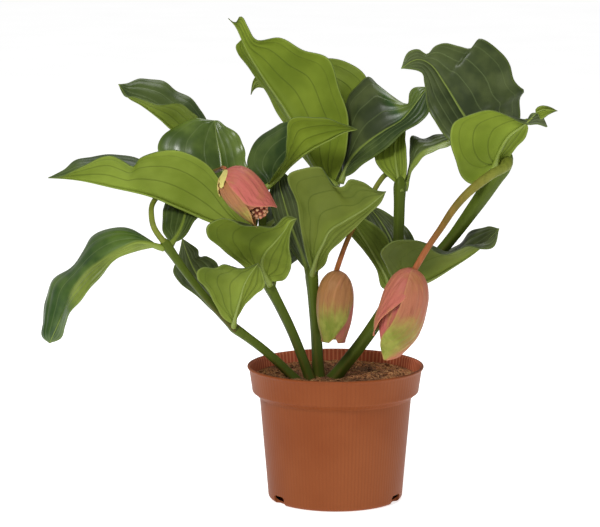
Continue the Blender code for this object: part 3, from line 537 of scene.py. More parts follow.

# %% [markdown]
# ## The leaves of this plant
# Every leaf is its own entry: its midrib from base to tip, its two margins, how far the halves belly,
# and how green it is. The three tones are the upper face's left and right halves and the underside: 0
# is a dull dark green, 1 a fresh one and 2 a pale one. The tones are partly each leaf's own green and
# partly painted light and shade: a leaf or half lying in light gets a paler tone, one in shade a darker
# one, and the palest also stand for a glossy sheen. Two leaves change tone towards their tips.

# %% Leaf shapes, in millimetres
LEAVES = {
    "leaf_crown": {
        "tones": (0.5, 0.5, 0.9),
        "rib": [(-1, 30, 302), (-20, 48, 318), (-34, 60, 346), (-49, 70, 371), (-68, 78, 398),
            (-85, 82, 425), (-97, 82, 450), (-104, 82, 458)],
        "left": [(4, 29, 313), (10, 30, 332), (13, 35, 361), (5, 42, 389), (-7, 50, 421),
            (-31, 58, 429), (-54, 66, 440), (-76, 72, 438), (-85, 77, 450), (-90, 79, 459),
            (-93, 80, 460), (-97, 81, 454)],
        "right": [(-13, 45, 304), (-29, 70, 320), (-49, 90, 353), (-66, 98, 381), (-82, 98, 406),
            (-95, 92, 422), (-97, 90, 431), (-90, 86, 438), (-95, 84, 448)],
        "bulge": (0.06, 0.06)},
    "leaf_crown_rear": {
        "tones": (0.4, 0.6, 1.7),
        "rib": [(17, 95, 352), (-4, 105, 372), (-34, 112, 383), (-59, 112, 389), (-76, 110, 395),
            (-83, 108, 381)],
        "left": [(23, 90, 369), (32, 88, 397), (12, 88, 415), (-7, 90, 418), (-34, 95, 410),
            (-59, 102, 404), (-72, 106, 404), (-80, 108, 396)],
        "right": [(13, 110, 360), (-14, 140, 376), (-44, 142, 378), (-64, 130, 384), (-77, 118, 387)],
        "bulge": (0.05, 0.05)},
    "leaf_centre_dark": {
        "tones": (0.1, 0.4, 0.7), "tip_tones": (1.5, 0.5),
        "rib": [(6, 24, 308), (12, 28, 321), (21, 28, 333), (33, 25, 344), (47, 22, 354),
            (64, 20, 365), (77, 20, 381), (88, 22, 396)],
        "left": [(7, 40, 321), (10, 53, 347), (9, 60, 372), (13, 62, 385), (22, 61, 394),
            (32, 60, 403), (41, 53, 396), (53, 45, 387), (64, 38, 380), (69, 31, 379), (71, 28, 390),
            (75, 25, 395)],
        "right": [(14, 19, 312), (25, 15, 321), (36, 10, 330), (48, 6, 338), (58, 4, 349),
            (72, 4, 359), (88, 8, 371), (90, 15, 384)],
        "bulge": (0.08, 0.06)},
    "leaf_fork_left": {
        "tones": (0.3, 0.3, 0.75),
        "rib": [(61, 2, 302), (58, 8, 320), (57, 20, 336), (60, 32, 352), (64, 42, 367)],
        "left": [(67, 3, 312), (68, 12, 330), (67, 20, 345), (67, 32, 358)],
        "right": [(53, 2, 309), (46, 5, 315), (39, 11, 323), (37, 20, 333), (40, 30, 342),
            (47, 40, 353), (57, 44, 363)],
        "bulge": (0.08, 0.08)},
    "leaf_fork_right": {
        "tones": (0.2, 2, 1),
        "rib": [(66, 7, 303), (73, 12, 322), (83, 16, 334), (98, 22, 340), (112, 26, 346),
            (127, 30, 352)],
        "left": [(71, 24, 326), (73, 36, 347), (83, 38, 345), (95, 38, 348), (107, 37, 350),
            (118, 34, 354)],
        "right": [(73, 2, 318), (84, 6, 331), (98, 12, 337), (112, 20, 341)],
        "bulge": (0.06, 0.06)},
    "leaf_right_crown": {
        "tones": (0.15, 0.15, 0.6),
        "rib": [(153, -12, 327), (137, 0, 347), (120, 8, 373), (104, 15, 399), (90, 15, 418),
            (77, 10, 423), (62, 4, 415)],
        "left": [(136, -14, 330), (108, -6, 347), (93, 0, 366), (86, 4, 382), (84, 6, 402),
            (82, 6, 410)],
        "right": [(168, 0, 338), (176, 12, 367), (176, 15, 386), (180, 15, 393), (175, 17, 397),
            (170, 18, 403), (166, 20, 418), (159, 22, 428), (137, 25, 442), (129, 24, 433),
            (118, 22, 435), (104, 22, 438), (94, 20, 435), (87, 17, 428), (78, 12, 433), (68, 8, 430)],
        "bulge": (0.06, 0.08)},
    "leaf_right_front": {
        "tones": (0.1, 0.1, 0.85),
        "rib": [(148, -30, 326), (153, -38, 342), (160, -42, 355), (171, -44, 364), (180, -44, 371),
            (190, -42, 379), (206, -42, 379)],
        "left": [(160, -26, 330), (165, -26, 338), (174, -28, 348), (180, -32, 361), (178, -38, 369),
            (182, -42, 377), (187, -44, 377), (190, -46, 371), (198, -45, 376)],
        "right": [(135, -34, 315), (127, -38, 310), (118, -44, 316), (111, -52, 333), (105, -57, 353),
            (108, -60, 369), (120, -62, 377), (139, -62, 382), (156, -56, 377), (170, -50, 370),
            (179, -44, 366), (188, -38, 366), (198, -36, 363), (190, -36, 371), (186, -38, 380),
            (191, -40, 384), (199, -42, 383)],
        "bulge": (0.08, 0.10)},
    "leaf_right_low": {
        "tones": (0.05, 0.05, 0.1),
        "rib": [(60, -12, 205), (72, -18, 209), (89, -22, 216), (110, -24, 229), (132, -26, 244),
            (144, -26, 255), (154, -26, 266)],
        "left": [(71, 0, 212), (86, 18, 227), (106, 22, 236), (118, 18, 244), (127, 10, 256),
            (137, 0, 263), (146, -12, 266)],
        "right": [(53, -28, 219), (45, -46, 237), (41, -58, 249), (50, -66, 258), (62, -72, 262),
            (75, -74, 262), (86, -74, 256), (90, -72, 251), (100, -66, 247), (114, -58, 251),
            (125, -50, 252), (137, -42, 249), (149, -34, 250)],
        "bulge": (0.06, 0.10)},
    "leaf_centre_front": {
        "tones": (0.2, 0.2, 0.1),
        "rib": [(-23, -18, 221), (-18, -30, 240), (-12, -38, 254), (-6, -42, 266), (9, -50, 277),
            (27, -55, 289), (38, -56, 298), (46, -55, 305)],
        "left": [(-11, -22, 230), (-6, -32, 244), (6, -40, 257), (20, -48, 272), (33, -54, 286),
            (41, -56, 294)],
        "right": [(-28, -28, 238), (-33, -34, 261), (-37, -38, 290), (-46, -35, 313), (-44, -30, 319),
            (-33, -28, 323), (-15, -30, 325), (-9, -35, 318), (-3, -42, 309), (6, -48, 309),
            (12, -52, 316), (25, -56, 314), (36, -58, 307)],
        "bulge": (0.05, 0.10)},
    "leaf_mid_front": {
        "tones": (0.2, 0.2, 0.55),
        "rib": [(-64, -34, 217), (-70, -42, 233), (-67, -50, 246), (-58, -54, 257), (-48, -58, 270),
            (-43, -60, 278), (-37, -60, 280)],
        "left": [(-52, -34, 217), (-45, -40, 224), (-42, -48, 237), (-44, -55, 254), (-42, -60, 269)],
        "right": [(-86, -38, 230), (-108, -52, 251), (-120, -60, 262), (-121, -64, 274),
            (-108, -68, 281), (-97, -70, 280), (-89, -70, 276), (-73, -70, 274), (-60, -68, 273),
            (-50, -65, 282), (-44, -62, 283)],
        "bulge": (0.08, 0.12)},
    "leaf_low_front": {
        "tones": (0.2, 0.2, 0.5),
        "rib": [(-97, -34, 175), (-94, -46, 189), (-90, -56, 204), (-86, -66, 219), (-80, -73, 231),
            (-73, -77, 241)],
        "left": [(-91, -44, 187), (-84, -50, 199), (-74, -56, 209), (-67, -62, 217), (-68, -70, 228)],
        "right": [(-108, -40, 184), (-121, -56, 212), (-130, -66, 225), (-130, -69, 232),
            (-124, -72, 236), (-113, -78, 237), (-105, -80, 240), (-95, -80, 237), (-85, -80, 237)],
        "bulge": (0.08, 0.10)},
    "leaf_left_drooping": {
        "tones": (1.9, 1, 0.9), "tip_tones": (1.1, 1),
        "rib": [(-166, -48, 252), (-185, -55, 257), (-200, -60, 252), (-217, -64, 242),
            (-232, -66, 231), (-247, -64, 212), (-257, -60, 189), (-270, -54, 161)],
        "left": [(-187, -60, 249), (-204, -70, 244), (-220, -82, 228), (-230, -86, 216),
            (-246, -80, 197), (-254, -70, 181), (-258, -60, 167)],
        "right": [(-175, -44, 258), (-192, -34, 266), (-216, -22, 266), (-232, -16, 256),
            (-248, -14, 228), (-270, -18, 216), (-275, -28, 199), (-278, -40, 179), (-278, -48, 167)],
        "bulge": (0.10, 0.12)},
    "leaf_left_wide": {
        "tones": (0.5, 0.5, 1.35),
        "rib": [(-76, 0, 262), (-92, -2, 264), (-117, -5, 270), (-151, -10, 285), (-176, -15, 296),
            (-212, -20, 305), (-244, -22, 312), (-272, -22, 314)],
        "left": [(-93, -12, 284), (-111, -30, 315), (-122, -38, 329), (-136, -44, 339),
            (-151, -48, 343), (-174, -50, 340), (-184, -49, 336), (-190, -46, 328), (-199, -46, 332),
            (-210, -46, 337), (-221, -43, 336), (-240, -36, 326), (-259, -28, 316)],
        "right": [(-75, 6, 273), (-89, 9, 277), (-109, 16, 290), (-130, 22, 302), (-159, 26, 314),
            (-181, 28, 322), (-193, 28, 327), (-204, 26, 330), (-218, 22, 332), (-235, 12, 329),
            (-249, 2, 328), (-259, -10, 320)],
        "bulge": (0.12, 0.10)},
    "leaf_left_rear": {
        "tones": (0.4, 0.4, 0.8),
        "rib": [(-131, 112, 329), (-160, 104, 347), (-172, 100, 358), (-190, 95, 372), (-203, 91, 380),
            (-212, 88, 393)],
        "left": [(-129, 92, 347), (-134, 84, 360), (-140, 80, 367), (-149, 78, 374), (-177, 76, 375),
            (-196, 80, 382), (-206, 86, 381)],
        "right": [(-126, 122, 339), (-129, 128, 357), (-142, 132, 374), (-157, 132, 383),
            (-172, 128, 393), (-193, 115, 396), (-205, 100, 393)],
        "bulge": (0.08, 0.08)},
    "leaf_left_upright": {
        "tones": (1.35, 1.35, 0.6),
        "rib": [(-80, 24, 294), (-96, 40, 298), (-108, 56, 307), (-112, 66, 326), (-116, 74, 344),
            (-118, 80, 358)],
        "left": [(-96, 34, 293), (-132, 52, 298), (-159, 60, 312), (-173, 64, 331), (-170, 70, 342),
            (-157, 76, 352), (-138, 82, 360), (-126, 82, 359)],
        "right": [(-80, 30, 302), (-86, 44, 319), (-89, 58, 335), (-96, 68, 347), (-107, 76, 353),
            (-114, 79, 358)],
        "bulge": (0.10, 0.08)},
    "leaf_centre_left": {
        "tones": (0.6, 0.6, 0.95),
        "rib": [(-66, 18, 301), (-56, 15, 309), (-43, 8, 323), (-26, 0, 337), (-5, -8, 349),
            (8, -12, 356), (20, -13, 359)],
        "left": [(-75, 28, 306), (-86, 40, 320), (-82, 44, 333), (-72, 46, 347), (-58, 42, 356),
            (-46, 30, 362), (-32, 14, 364), (-10, -2, 363)],
        "right": [(-62, 8, 310), (-49, -8, 331), (-47, -16, 349), (-45, -22, 368), (-32, -26, 372),
            (-18, -28, 372), (-4, -26, 369), (9, -19, 364)],
        "bulge": (0.08, 0.10)},
    "leaf_left_inner": {
        "tones": (0.35, 0.35, 0.6),
        "rib": [(-155, -40, 254), (-148, -25, 264), (-144, -5, 276), (-143, 15, 288), (-142, 28, 302)],
        "left": [(-163, -32, 262), (-165, -12, 272), (-164, 10, 285), (-156, 24, 296)],
        "right": [(-144, -32, 258), (-135, -10, 270), (-127, 6, 279), (-128, 20, 291)],
        "bulge": (0.08, 0.08)},
    "leaf_low_rear": {
        "tones": (0.1, 0.1, 0.5),
        "rib": [(-100, -26, 174), (-115, -12, 195), (-125, -4, 207), (-135, 2, 221), (-142, 2, 237),
            (-147, 0, 253)],
        "left": [(-118, -15, 185), (-133, -7, 198), (-149, 0, 209), (-156, 4, 220), (-151, 4, 235)],
        "right": [(-95, -20, 185), (-102, -2, 197), (-109, 8, 211), (-115, 12, 228), (-124, 12, 234),
            (-131, 9, 234), (-132, 6, 241), (-140, 2, 248)],
        "bulge": (0.08, 0.08)},
    "leaf_centre_inner": {
        "tones": (0.1, 0.1, 0.5),
        "rib": [(-27, -8, 222), (-32, 4, 236), (-43, 16, 264), (-50, 22, 287), (-54, 27, 303),
            (-52, 29, 314)],
        "left": [(-35, 0, 230), (-46, 12, 245), (-57, 18, 263), (-63, 24, 282), (-63, 27, 298)],
        "right": [(-25, -2, 234), (-28, 8, 252), (-32, 16, 276), (-39, 22, 297), (-46, 26, 310)],
        "bulge": (0.08, 0.08)},
    "leaf_fork_low": {
        "tones": (0.1, 0.1, 0.3),
        "rib": [(52, -8, 204), (48, 0, 216), (39, 8, 232), (27, 14, 251), (14, 18, 270), (2, 20, 282)],
        "left": [(56, -2, 217), (55, 4, 239), (49, 9, 254), (41, 14, 262), (29, 19, 269),
            (16, 22, 276)],
        "right": [(44, -5, 206), (39, 4, 222), (27, 11, 239), (14, 15, 254), (4, 18, 268)],
        "bulge": (0.08, 0.08)},
    "leaf_fork_rear": {
        "tones": (0.05, 0.05, 0.4),
        "rib": [(61, 4, 208), (60, 22, 227), (54, 36, 246), (45, 44, 262), (32, 48, 278)],
        "left": [(52, 14, 220), (43, 30, 237), (33, 41, 255), (28, 47, 270)],
        "right": [(69, 12, 218), (76, 24, 233), (77, 33, 246), (70, 41, 257), (57, 46, 267),
            (44, 48, 275)],
        "bulge": (0.08, 0.08)},
    "leaf_rear_wide": {
        "tones": (0.3, 0.3, 0.5),
        "rib": [(-66, 8, 264), (-46, 50, 270), (-22, 95, 270), (6, 138, 264)],
        "left": [(-71, 26, 273), (-71, 62, 282), (-49, 108, 279), (-14, 134, 269)],
        "right": [(-56, 18, 258), (-22, 56, 251), (8, 96, 255), (13, 126, 261)],
        "bulge": (0.08, 0.08)},
    "leaf_rear_crown": {
        "tones": (0.4, 0.4, 0.6),
        "rib": [(21, 97, 350), (37, 112, 359), (56, 130, 360), (70, 148, 352)],
        "left": [(23, 100, 362), (33, 118, 373), (52, 138, 369)],
        "right": [(27, 100, 343), (45, 112, 339), (62, 132, 345)],
        "bulge": (0.08, 0.08)},
    "leaf_rear_low": {
        "tones": (0.3, 0.3, 0.5),
        "rib": [(-60, -22, 214), (-55, 4, 229), (-49, 42, 238), (-41, 84, 241)],
        "left": [(-65, -2, 222), (-70, 32, 235), (-60, 70, 243)],
        "right": [(-52, -8, 222), (-37, 26, 228), (-32, 62, 235)],
        "bulge": (0.08, 0.08)},
}
print("leaf shapes:", len(LEAVES))

# %% [markdown]
# Each entry becomes one leaf in the place of its solid. A loop suits them, because they differ only in
# their curves and tones.

# %% Make the leaves
for leaf_name, leaf_shape in LEAVES.items():
    make_leaf(leaf_name, leaf_shape)
print("leaves:", len(LEAVES))

# %% [markdown]
# ## Stems and flower stalks
# Stems are fleshy and four-winged, swell at each node, and redden along their edges near the base.
# A rolled grid gives the wings and the swelling in one piece; a curve's bevel would stay round.

# %% Stem finishes
def stem_skin(name, young, old, blush):
    finish = Finish(name, Specular_IOR_Level=0.1)
    place = finish.place()
    streak = finish.noise(finish.scaled(place, (1.0, 1.0, 0.25)), 220.0)
    base = finish.mix(finish.attribute("age"), young, old)
    base = finish.mix(finish.fade(streak, 0.35, 0.75) * 0.35, base, colour(56, 68, 20))
    base = finish.mix(finish.attribute("blush") * finish.fade(streak, 0.25, 0.6), base, blush)
    finish.feed("Base Color", base)
    finish.feed("Roughness", streak * 0.25 + 0.34)
    finish.feed("Normal", finish.bump(streak, 0.3, 0.0004))
    return finish.material


STEM = stem_skin("stem_skin", colour(80, 95, 27), colour(62, 75, 21), colour(98, 66, 36))
STALK = stem_skin("flower_stalk_skin", colour(120, 128, 50), colour(124, 80, 36), colour(160, 90, 56))
print("stem finishes:", STEM.name, STALK.name)

# %% [markdown]
# A cut tube would show its flat end where stems meet, so each one runs on a little and closes like a
# ball. Every point of the tube knows how far along it lies, and the finish fades from that.

# %% One stem
STEM_SIDES = 24
STEM_POINT_SPACING = 3.0
STEM_WINGS = 0.085
STALK_WINGS = 0.02
NODE_SWELLING = 0.12
NODE_REACH = 9.0
END_RINGS = 6
END_ANGLE = 84
END_LENGTHS = (0.9, 2.0)


def rounded_ends(centre, radii, share):
    """Carries the tube a little further at both ends, closing like a ball."""
    turns = np.radians(np.linspace(0, END_ANGLE, END_RINGS))[1:]
    ways = [centre[0] - centre[1], centre[-1] - centre[-2]]
    ends = []
    for number, way in enumerate(ways):
        way = way / np.linalg.norm(way)
        middle, radius = centre[-number], radii[-number]
        reach = np.sin(turns)[:, None] * radius * END_LENGTHS[number]
        ends.append((middle + way * reach, radius * np.cos(turns)))
    centre = np.vstack([ends[0][0][::-1], centre, ends[1][0]])
    radii = np.concatenate([ends[0][1][::-1], radii, ends[1][1]])
    share = np.concatenate([np.zeros(len(turns)), share, np.ones(len(turns))])
    return centre, radii, share


def make_stem(name, stem):
    route = stem["route"]
    length = sum(math.dist(a, b) for a, b in zip(route, route[1:]))
    count = max(8, round(length / STEM_POINT_SPACING))
    centre = smooth_curve(route, count)
    share = np.linspace(0, 1, count)
    radii = np.interp(share, np.linspace(0, 1, len(route)), stem["radii"])
    stalk = name.startswith("stalk")
    if not stalk:
        from_end = np.minimum(share, 1 - share) * length
        radii = radii * (1 + NODE_SWELLING * np.exp(-(from_end / NODE_REACH) ** 2))
    centre, radii, share = rounded_ends(centre, radii, share)
    piece = tube_piece("fine_" + name, centre, radii, STEM_SIDES, STALK_WINGS if stalk else STEM_WINGS)
    places = np.array([vertex.co for vertex in piece.data.vertices]) / MM
    near = np.argmin(((places[:, None] - centre[None]) ** 2).sum(axis=2), axis=1)
    age = ease((share[near] - 0.15) / 0.75) if stalk else 1 - share[near]
    reach = np.linalg.norm(places - centre[near], axis=1) / radii[near]
    edge = ease((reach - 1.02) / 0.05) if not stalk else np.zeros(len(places))
    blush = ease((share[near] - 0.72) / 0.28) if stalk else edge * ease(1.0 - share[near] * 1.4) * 0.5
    write_attribute(piece, "age", age)
    write_attribute(piece, "blush", blush)
    piece.data.materials.append(STALK if stalk else STEM)
    finish_piece(piece)


print("stem maker ready")

# %% [markdown]
# The routes run from the soil upwards, and the radii are spread evenly along them. The three flower
# stalks arch over and hang down, which makes the buds droop.

# %% Make the stems, in millimetres
STEMS = {
    "stem_left": {
        "route": [(-37, -12, 116), (-65, -20, 145), (-95, -30, 170)],
        "radii": [4.6, 4.2, 4.4]},
    "stem_left_upper": {
        "route": [(-96, -31, 171), (-129, -38, 209), (-159, -45, 252)],
        "radii": [4.2, 3.6, 4.2]},
    "stem_second": {
        "route": [(-24, -14, 117), (-42, -20, 166), (-63, -27, 210)],
        "radii": [4.8, 4.5, 4.8]},
    "stem_second_upper": {
        "route": [(-63, -26, 211), (-66, -14, 236), (-70, 0, 263), (-69, 17, 295)],
        "radii": [4, 3.6, 3.8, 3.8]},
    "stem_third": {
        "route": [(-16, -8, 115), (-19, -12, 166), (-23, -15, 218)],
        "radii": [5.6, 5, 5.4]},
    "stem_third_upper": {
        "route": [(-22, -13, 218), (-13, 8, 260), (0, 32, 301)],
        "radii": [4, 3.6, 4]},
    "stem_fourth": {
        "route": [(-4, -6, 115), (29, -12, 159), (57, -10, 202)],
        "radii": [6, 5.8, 6]},
    "stem_fourth_upper": {
        "route": [(58, -9, 203), (99, -11, 241), (131, -14, 284), (144, -17, 304), (155, -20, 323)],
        "radii": [4.6, 4.8, 5.2, 6.6, 8]},
    "stem_fork": {
        "route": [(59, -4, 204), (60, 0, 251), (61, 3, 301)],
        "radii": [5.4, 5, 5.2]},
    "stem_crown_rear": {
        "route": [(1, 36, 302), (10, 66, 328), (17, 92, 350)],
        "radii": [3.6, 3.2, 3.6]},
    "stem_left_rear": {
        "route": [(-75, 26, 296), (-101, 84, 303), (-129, 112, 328)],
        "radii": [3.4, 3.2, 3.6]},
    "stalk_left": {
        "route": [(-161, -46, 255), (-171, -48, 270), (-174, -38, 282), (-173, -12, 290),
            (-164, 12, 297), (-144, 30, 302), (-126, 34, 310), (-116, 20, 315), (-109, 0, 320),
            (-107, -26, 324), (-104, -50, 326)],
        "radii": [3, 2.8, 2.6, 2.6, 2.4, 2.4, 2.2, 2, 2, 1.8, 1.8]},
    "stalk_middle": {
        "route": [(62, 11, 306), (57, 15, 312), (49, 13, 313), (41, 3, 306), (30, -10, 288),
            (13, -20, 259), (1, -22, 227)],
        "radii": [2.8, 2.6, 2.5, 2.5, 2.4, 2.4, 2.6]},
    "stalk_right": {
        "route": [(156, -26, 326), (161, -38, 331), (158, -52, 328), (144, -62, 322), (123, -70, 307),
            (109, -73, 292), (96, -77, 273), (84, -81, 256), (73, -85, 238)],
        "radii": [4.4, 4.4, 4.4, 4.2, 3.8, 3.4, 3, 2.8, 2.8]},
}
for stem_name, stem_shape in STEMS.items():
    make_stem(stem_name, stem_shape)
print("stems and stalks:", len(STEMS))

# %% [markdown]
# ## The buds
# A bud is two pairs of bracts wrapped round each other like a tulip's petals. They are thin, waxy and
# finely ribbed along their length, dusty rose outside, tan where they face the light and green at the
# tip. Each bract is a grid laid on the bud's swollen form, with ribs and a crumpled edge as relief.

# %% Bract finish
def bract_skin():
    finish = Finish("bract_skin", Specular_IOR_Level=0.2)
    place = finish.place()
    lengthways = finish.node("ShaderNodeCombineXYZ", None, {
        "X": finish.attribute("over") * 0.55, "Y": finish.attribute("down") * 0.035,
        "Z": finish.attribute("side_key")})
    streak = finish.noise(lengthways, 1.0, 4.0, 0.6)
    blotch = finish.noise(place, 75.0)
    base = finish.mix(finish.attribute("rosy"), colour(138, 108, 52), colour(178, 92, 84))
    base = finish.mix(finish.fade(streak, 0.48, 0.72) * 0.55, base, colour(182, 118, 84))
    base = finish.mix((1 - finish.fade(streak, 0.26, 0.46)) * 0.7, base, colour(120, 66, 42))
    base = finish.mix(finish.fade(blotch, 0.50, 0.74) * 0.45, base, colour(156, 104, 56))
    greening = finish.fade(finish.attribute("green") + streak * 0.9 + blotch * 0.5, 0.75, 1.6)
    green = finish.mix(finish.fade(blotch, 0.35, 0.65), colour(108, 120, 34), colour(140, 142, 60))
    base = finish.mix(greening, base, green)
    # Paler margins: partly the bract's own paler edge, partly a painted sheen along the rim.
    edge = finish.fade(finish.attribute("edge"), 1.8, 0.2)
    base = finish.mix(edge * 0.5, base, colour(190, 132, 88))
    base = finish.mix(finish.attribute("pale"), base, colour(206, 198, 116))
    finish.feed("Base Color", base)
    finish.feed("Roughness", blotch * 0.2 + 0.40)
    finish.feed("Normal", finish.bump(streak, 0.6, 0.0014))
    return finish.material


BRACT = bract_skin()
print("bract finish:", BRACT.name)

# %% [markdown]
# Seen along the bud, the form swells quickly from the stalk and draws in at the mouth. A bract follows
# it between its own two margins, so its outline can be cut freely without a boolean. Fine ribs run
# its whole length, and the margins crumple a little.

# %% Bract shape
BRACT_ROWS = 64
BRACT_COLUMNS = 48
BRACT_THICKNESS = 0.6
BRACT_RIBS = 9
RIB_HEIGHT = 0.35
EDGE_CRUMPLE = 0.8
BUD_PROFILE = ((0.0, 0.16), (0.03, 0.42), (0.09, 0.66), (0.22, 0.90), (0.42, 1.0), (0.68, 0.93))


def rounded(table, values):
    """The table's curve through its points, without corners."""
    x, y = (np.array(column) for column in zip(*table))
    k = np.clip(np.searchsorted(x, values) - 1, 0, len(x) - 2)
    slopes = np.gradient(y, x)
    step = x[k + 1] - x[k]
    u = (values - x[k]) / step
    return ((1 + 2 * u) * (1 - u) ** 2 * y[k] + u * (1 - u) ** 2 * step * slopes[k]
            + u * u * (3 - 2 * u) * y[k + 1] + u * u * (u - 1) * step * slopes[k + 1])


def bud_directions(bud):
    base, tip = np.array(bud["base"], float), np.array(bud["tip"], float)
    axis = (tip - base) / np.linalg.norm(tip - base)
    front = np.array((0.0, -1.0, 0.0))
    front -= axis * front.dot(axis)
    front /= np.linalg.norm(front)
    right = np.cross(front, axis)
    return base, tip - base, front, right * (1 if right[0] > 0 else -1)


def make_bract(bud_name, bud, name, bract, key):
    base, span, front, right = bud_directions(bud)
    s = np.linspace(0, 1, BRACT_ROWS + 1)[:, None]
    side = np.linspace(-1, 1, BRACT_COLUMNS + 1)[None, :]
    start, end = bract["reach"]
    reach = start + s * (end - start)
    stations, first, last = zip(*bract["margins"])
    low = np.radians(rounded(tuple(zip(stations, first)), s))
    high = np.radians(rounded(tuple(zip(stations, last)), s))
    spread = (high - low) / 2
    angle = (low + high) / 2 + spread * side
    swell = rounded((*BUD_PROFILE, (1.0, bud["mouth"])), reach)
    flare = ease((s - 0.5) / 0.5)
    radius = bud["radius"] * bract["layer"] * (swell + bract.get("flare", 0.0) * flare)
    ribs = RIB_HEIGHT * np.cos(side * math.pi * BRACT_RIBS) * ease(s * 5) * ease((1 - s) * 4)
    crumple = EDGE_CRUMPLE * np.abs(side) ** 8 * np.sin(2 * math.pi * (3.2 * s + 0.2 * key)) * ease(s * 3)
    lift = bract.get("lift", (0.0, 0.0))
    raised = lift[0] * np.clip(-side, 0, 1) ** 4 + lift[1] * np.clip(side, 0, 1) ** 4
    radius = radius + ribs + crumple + raised * ease(s * 4)
    outward = np.cos(angle)[..., None] * front + np.sin(angle)[..., None] * right
    surface = base + span * reach[..., None] + outward * radius[..., None]
    piece = grid_piece("fine_bract_%s_%s" % (bud_name, name), surface)
    width = radius * np.abs(spread)
    green, centre = bract["green"]
    at_tip = ease((reach - 0.25) / 0.6) * np.clip(1.3 - np.abs(side - centre), 0, 1)
    write_attribute(piece, "over", side * width + key * 40.0)
    write_attribute(piece, "down", s * np.linalg.norm(span) * (end - start) + side * 0)
    write_attribute(piece, "side_key", s * 0 + side * 0 + key * 3.7)
    write_attribute(piece, "edge", (1 - np.abs(side)) * width)
    rosy = bract["rosy"][0] * (1 - side) / 2 + bract["rosy"][1] * (1 + side) / 2
    write_attribute(piece, "rosy", np.clip(rosy + s * 0, 0, 1))
    write_attribute(piece, "green", np.clip(green * at_tip, 0, 1))
    write_attribute(piece, "pale", np.full(side.size * s.size, bract.get("pale", 0.0)))
    piece.data.materials.append(BRACT)
    select_only(piece)
    bpy.ops.object.mode_set(mode="EDIT")
    bpy.ops.mesh.select_all(action="SELECT")
    bpy.ops.mesh.normals_make_consistent(inside=False)
    bpy.ops.object.mode_set(mode="OBJECT")
    wall = piece.modifiers.new("thickness", "SOLIDIFY")
    wall.thickness = BRACT_THICKNESS * MM
    wall.offset = 0.0
    bpy.ops.object.modifier_apply(modifier=wall.name)
    if "scale" in name:
        select_only(piece)
        bpy.ops.object.shade_smooth()
        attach(piece, BODY)
    else:
        finish_piece(piece)


print("bract helpers ready")

# %% [markdown]
# Each bract has its reach along the bud (from and to), and its two margins as angles round the bud's
# axis at stations along it: 0 faces the front, 90 the right. The first pair of bracts lies outside
# and overlaps, and the second pair lies inside and shows where the first has parted.

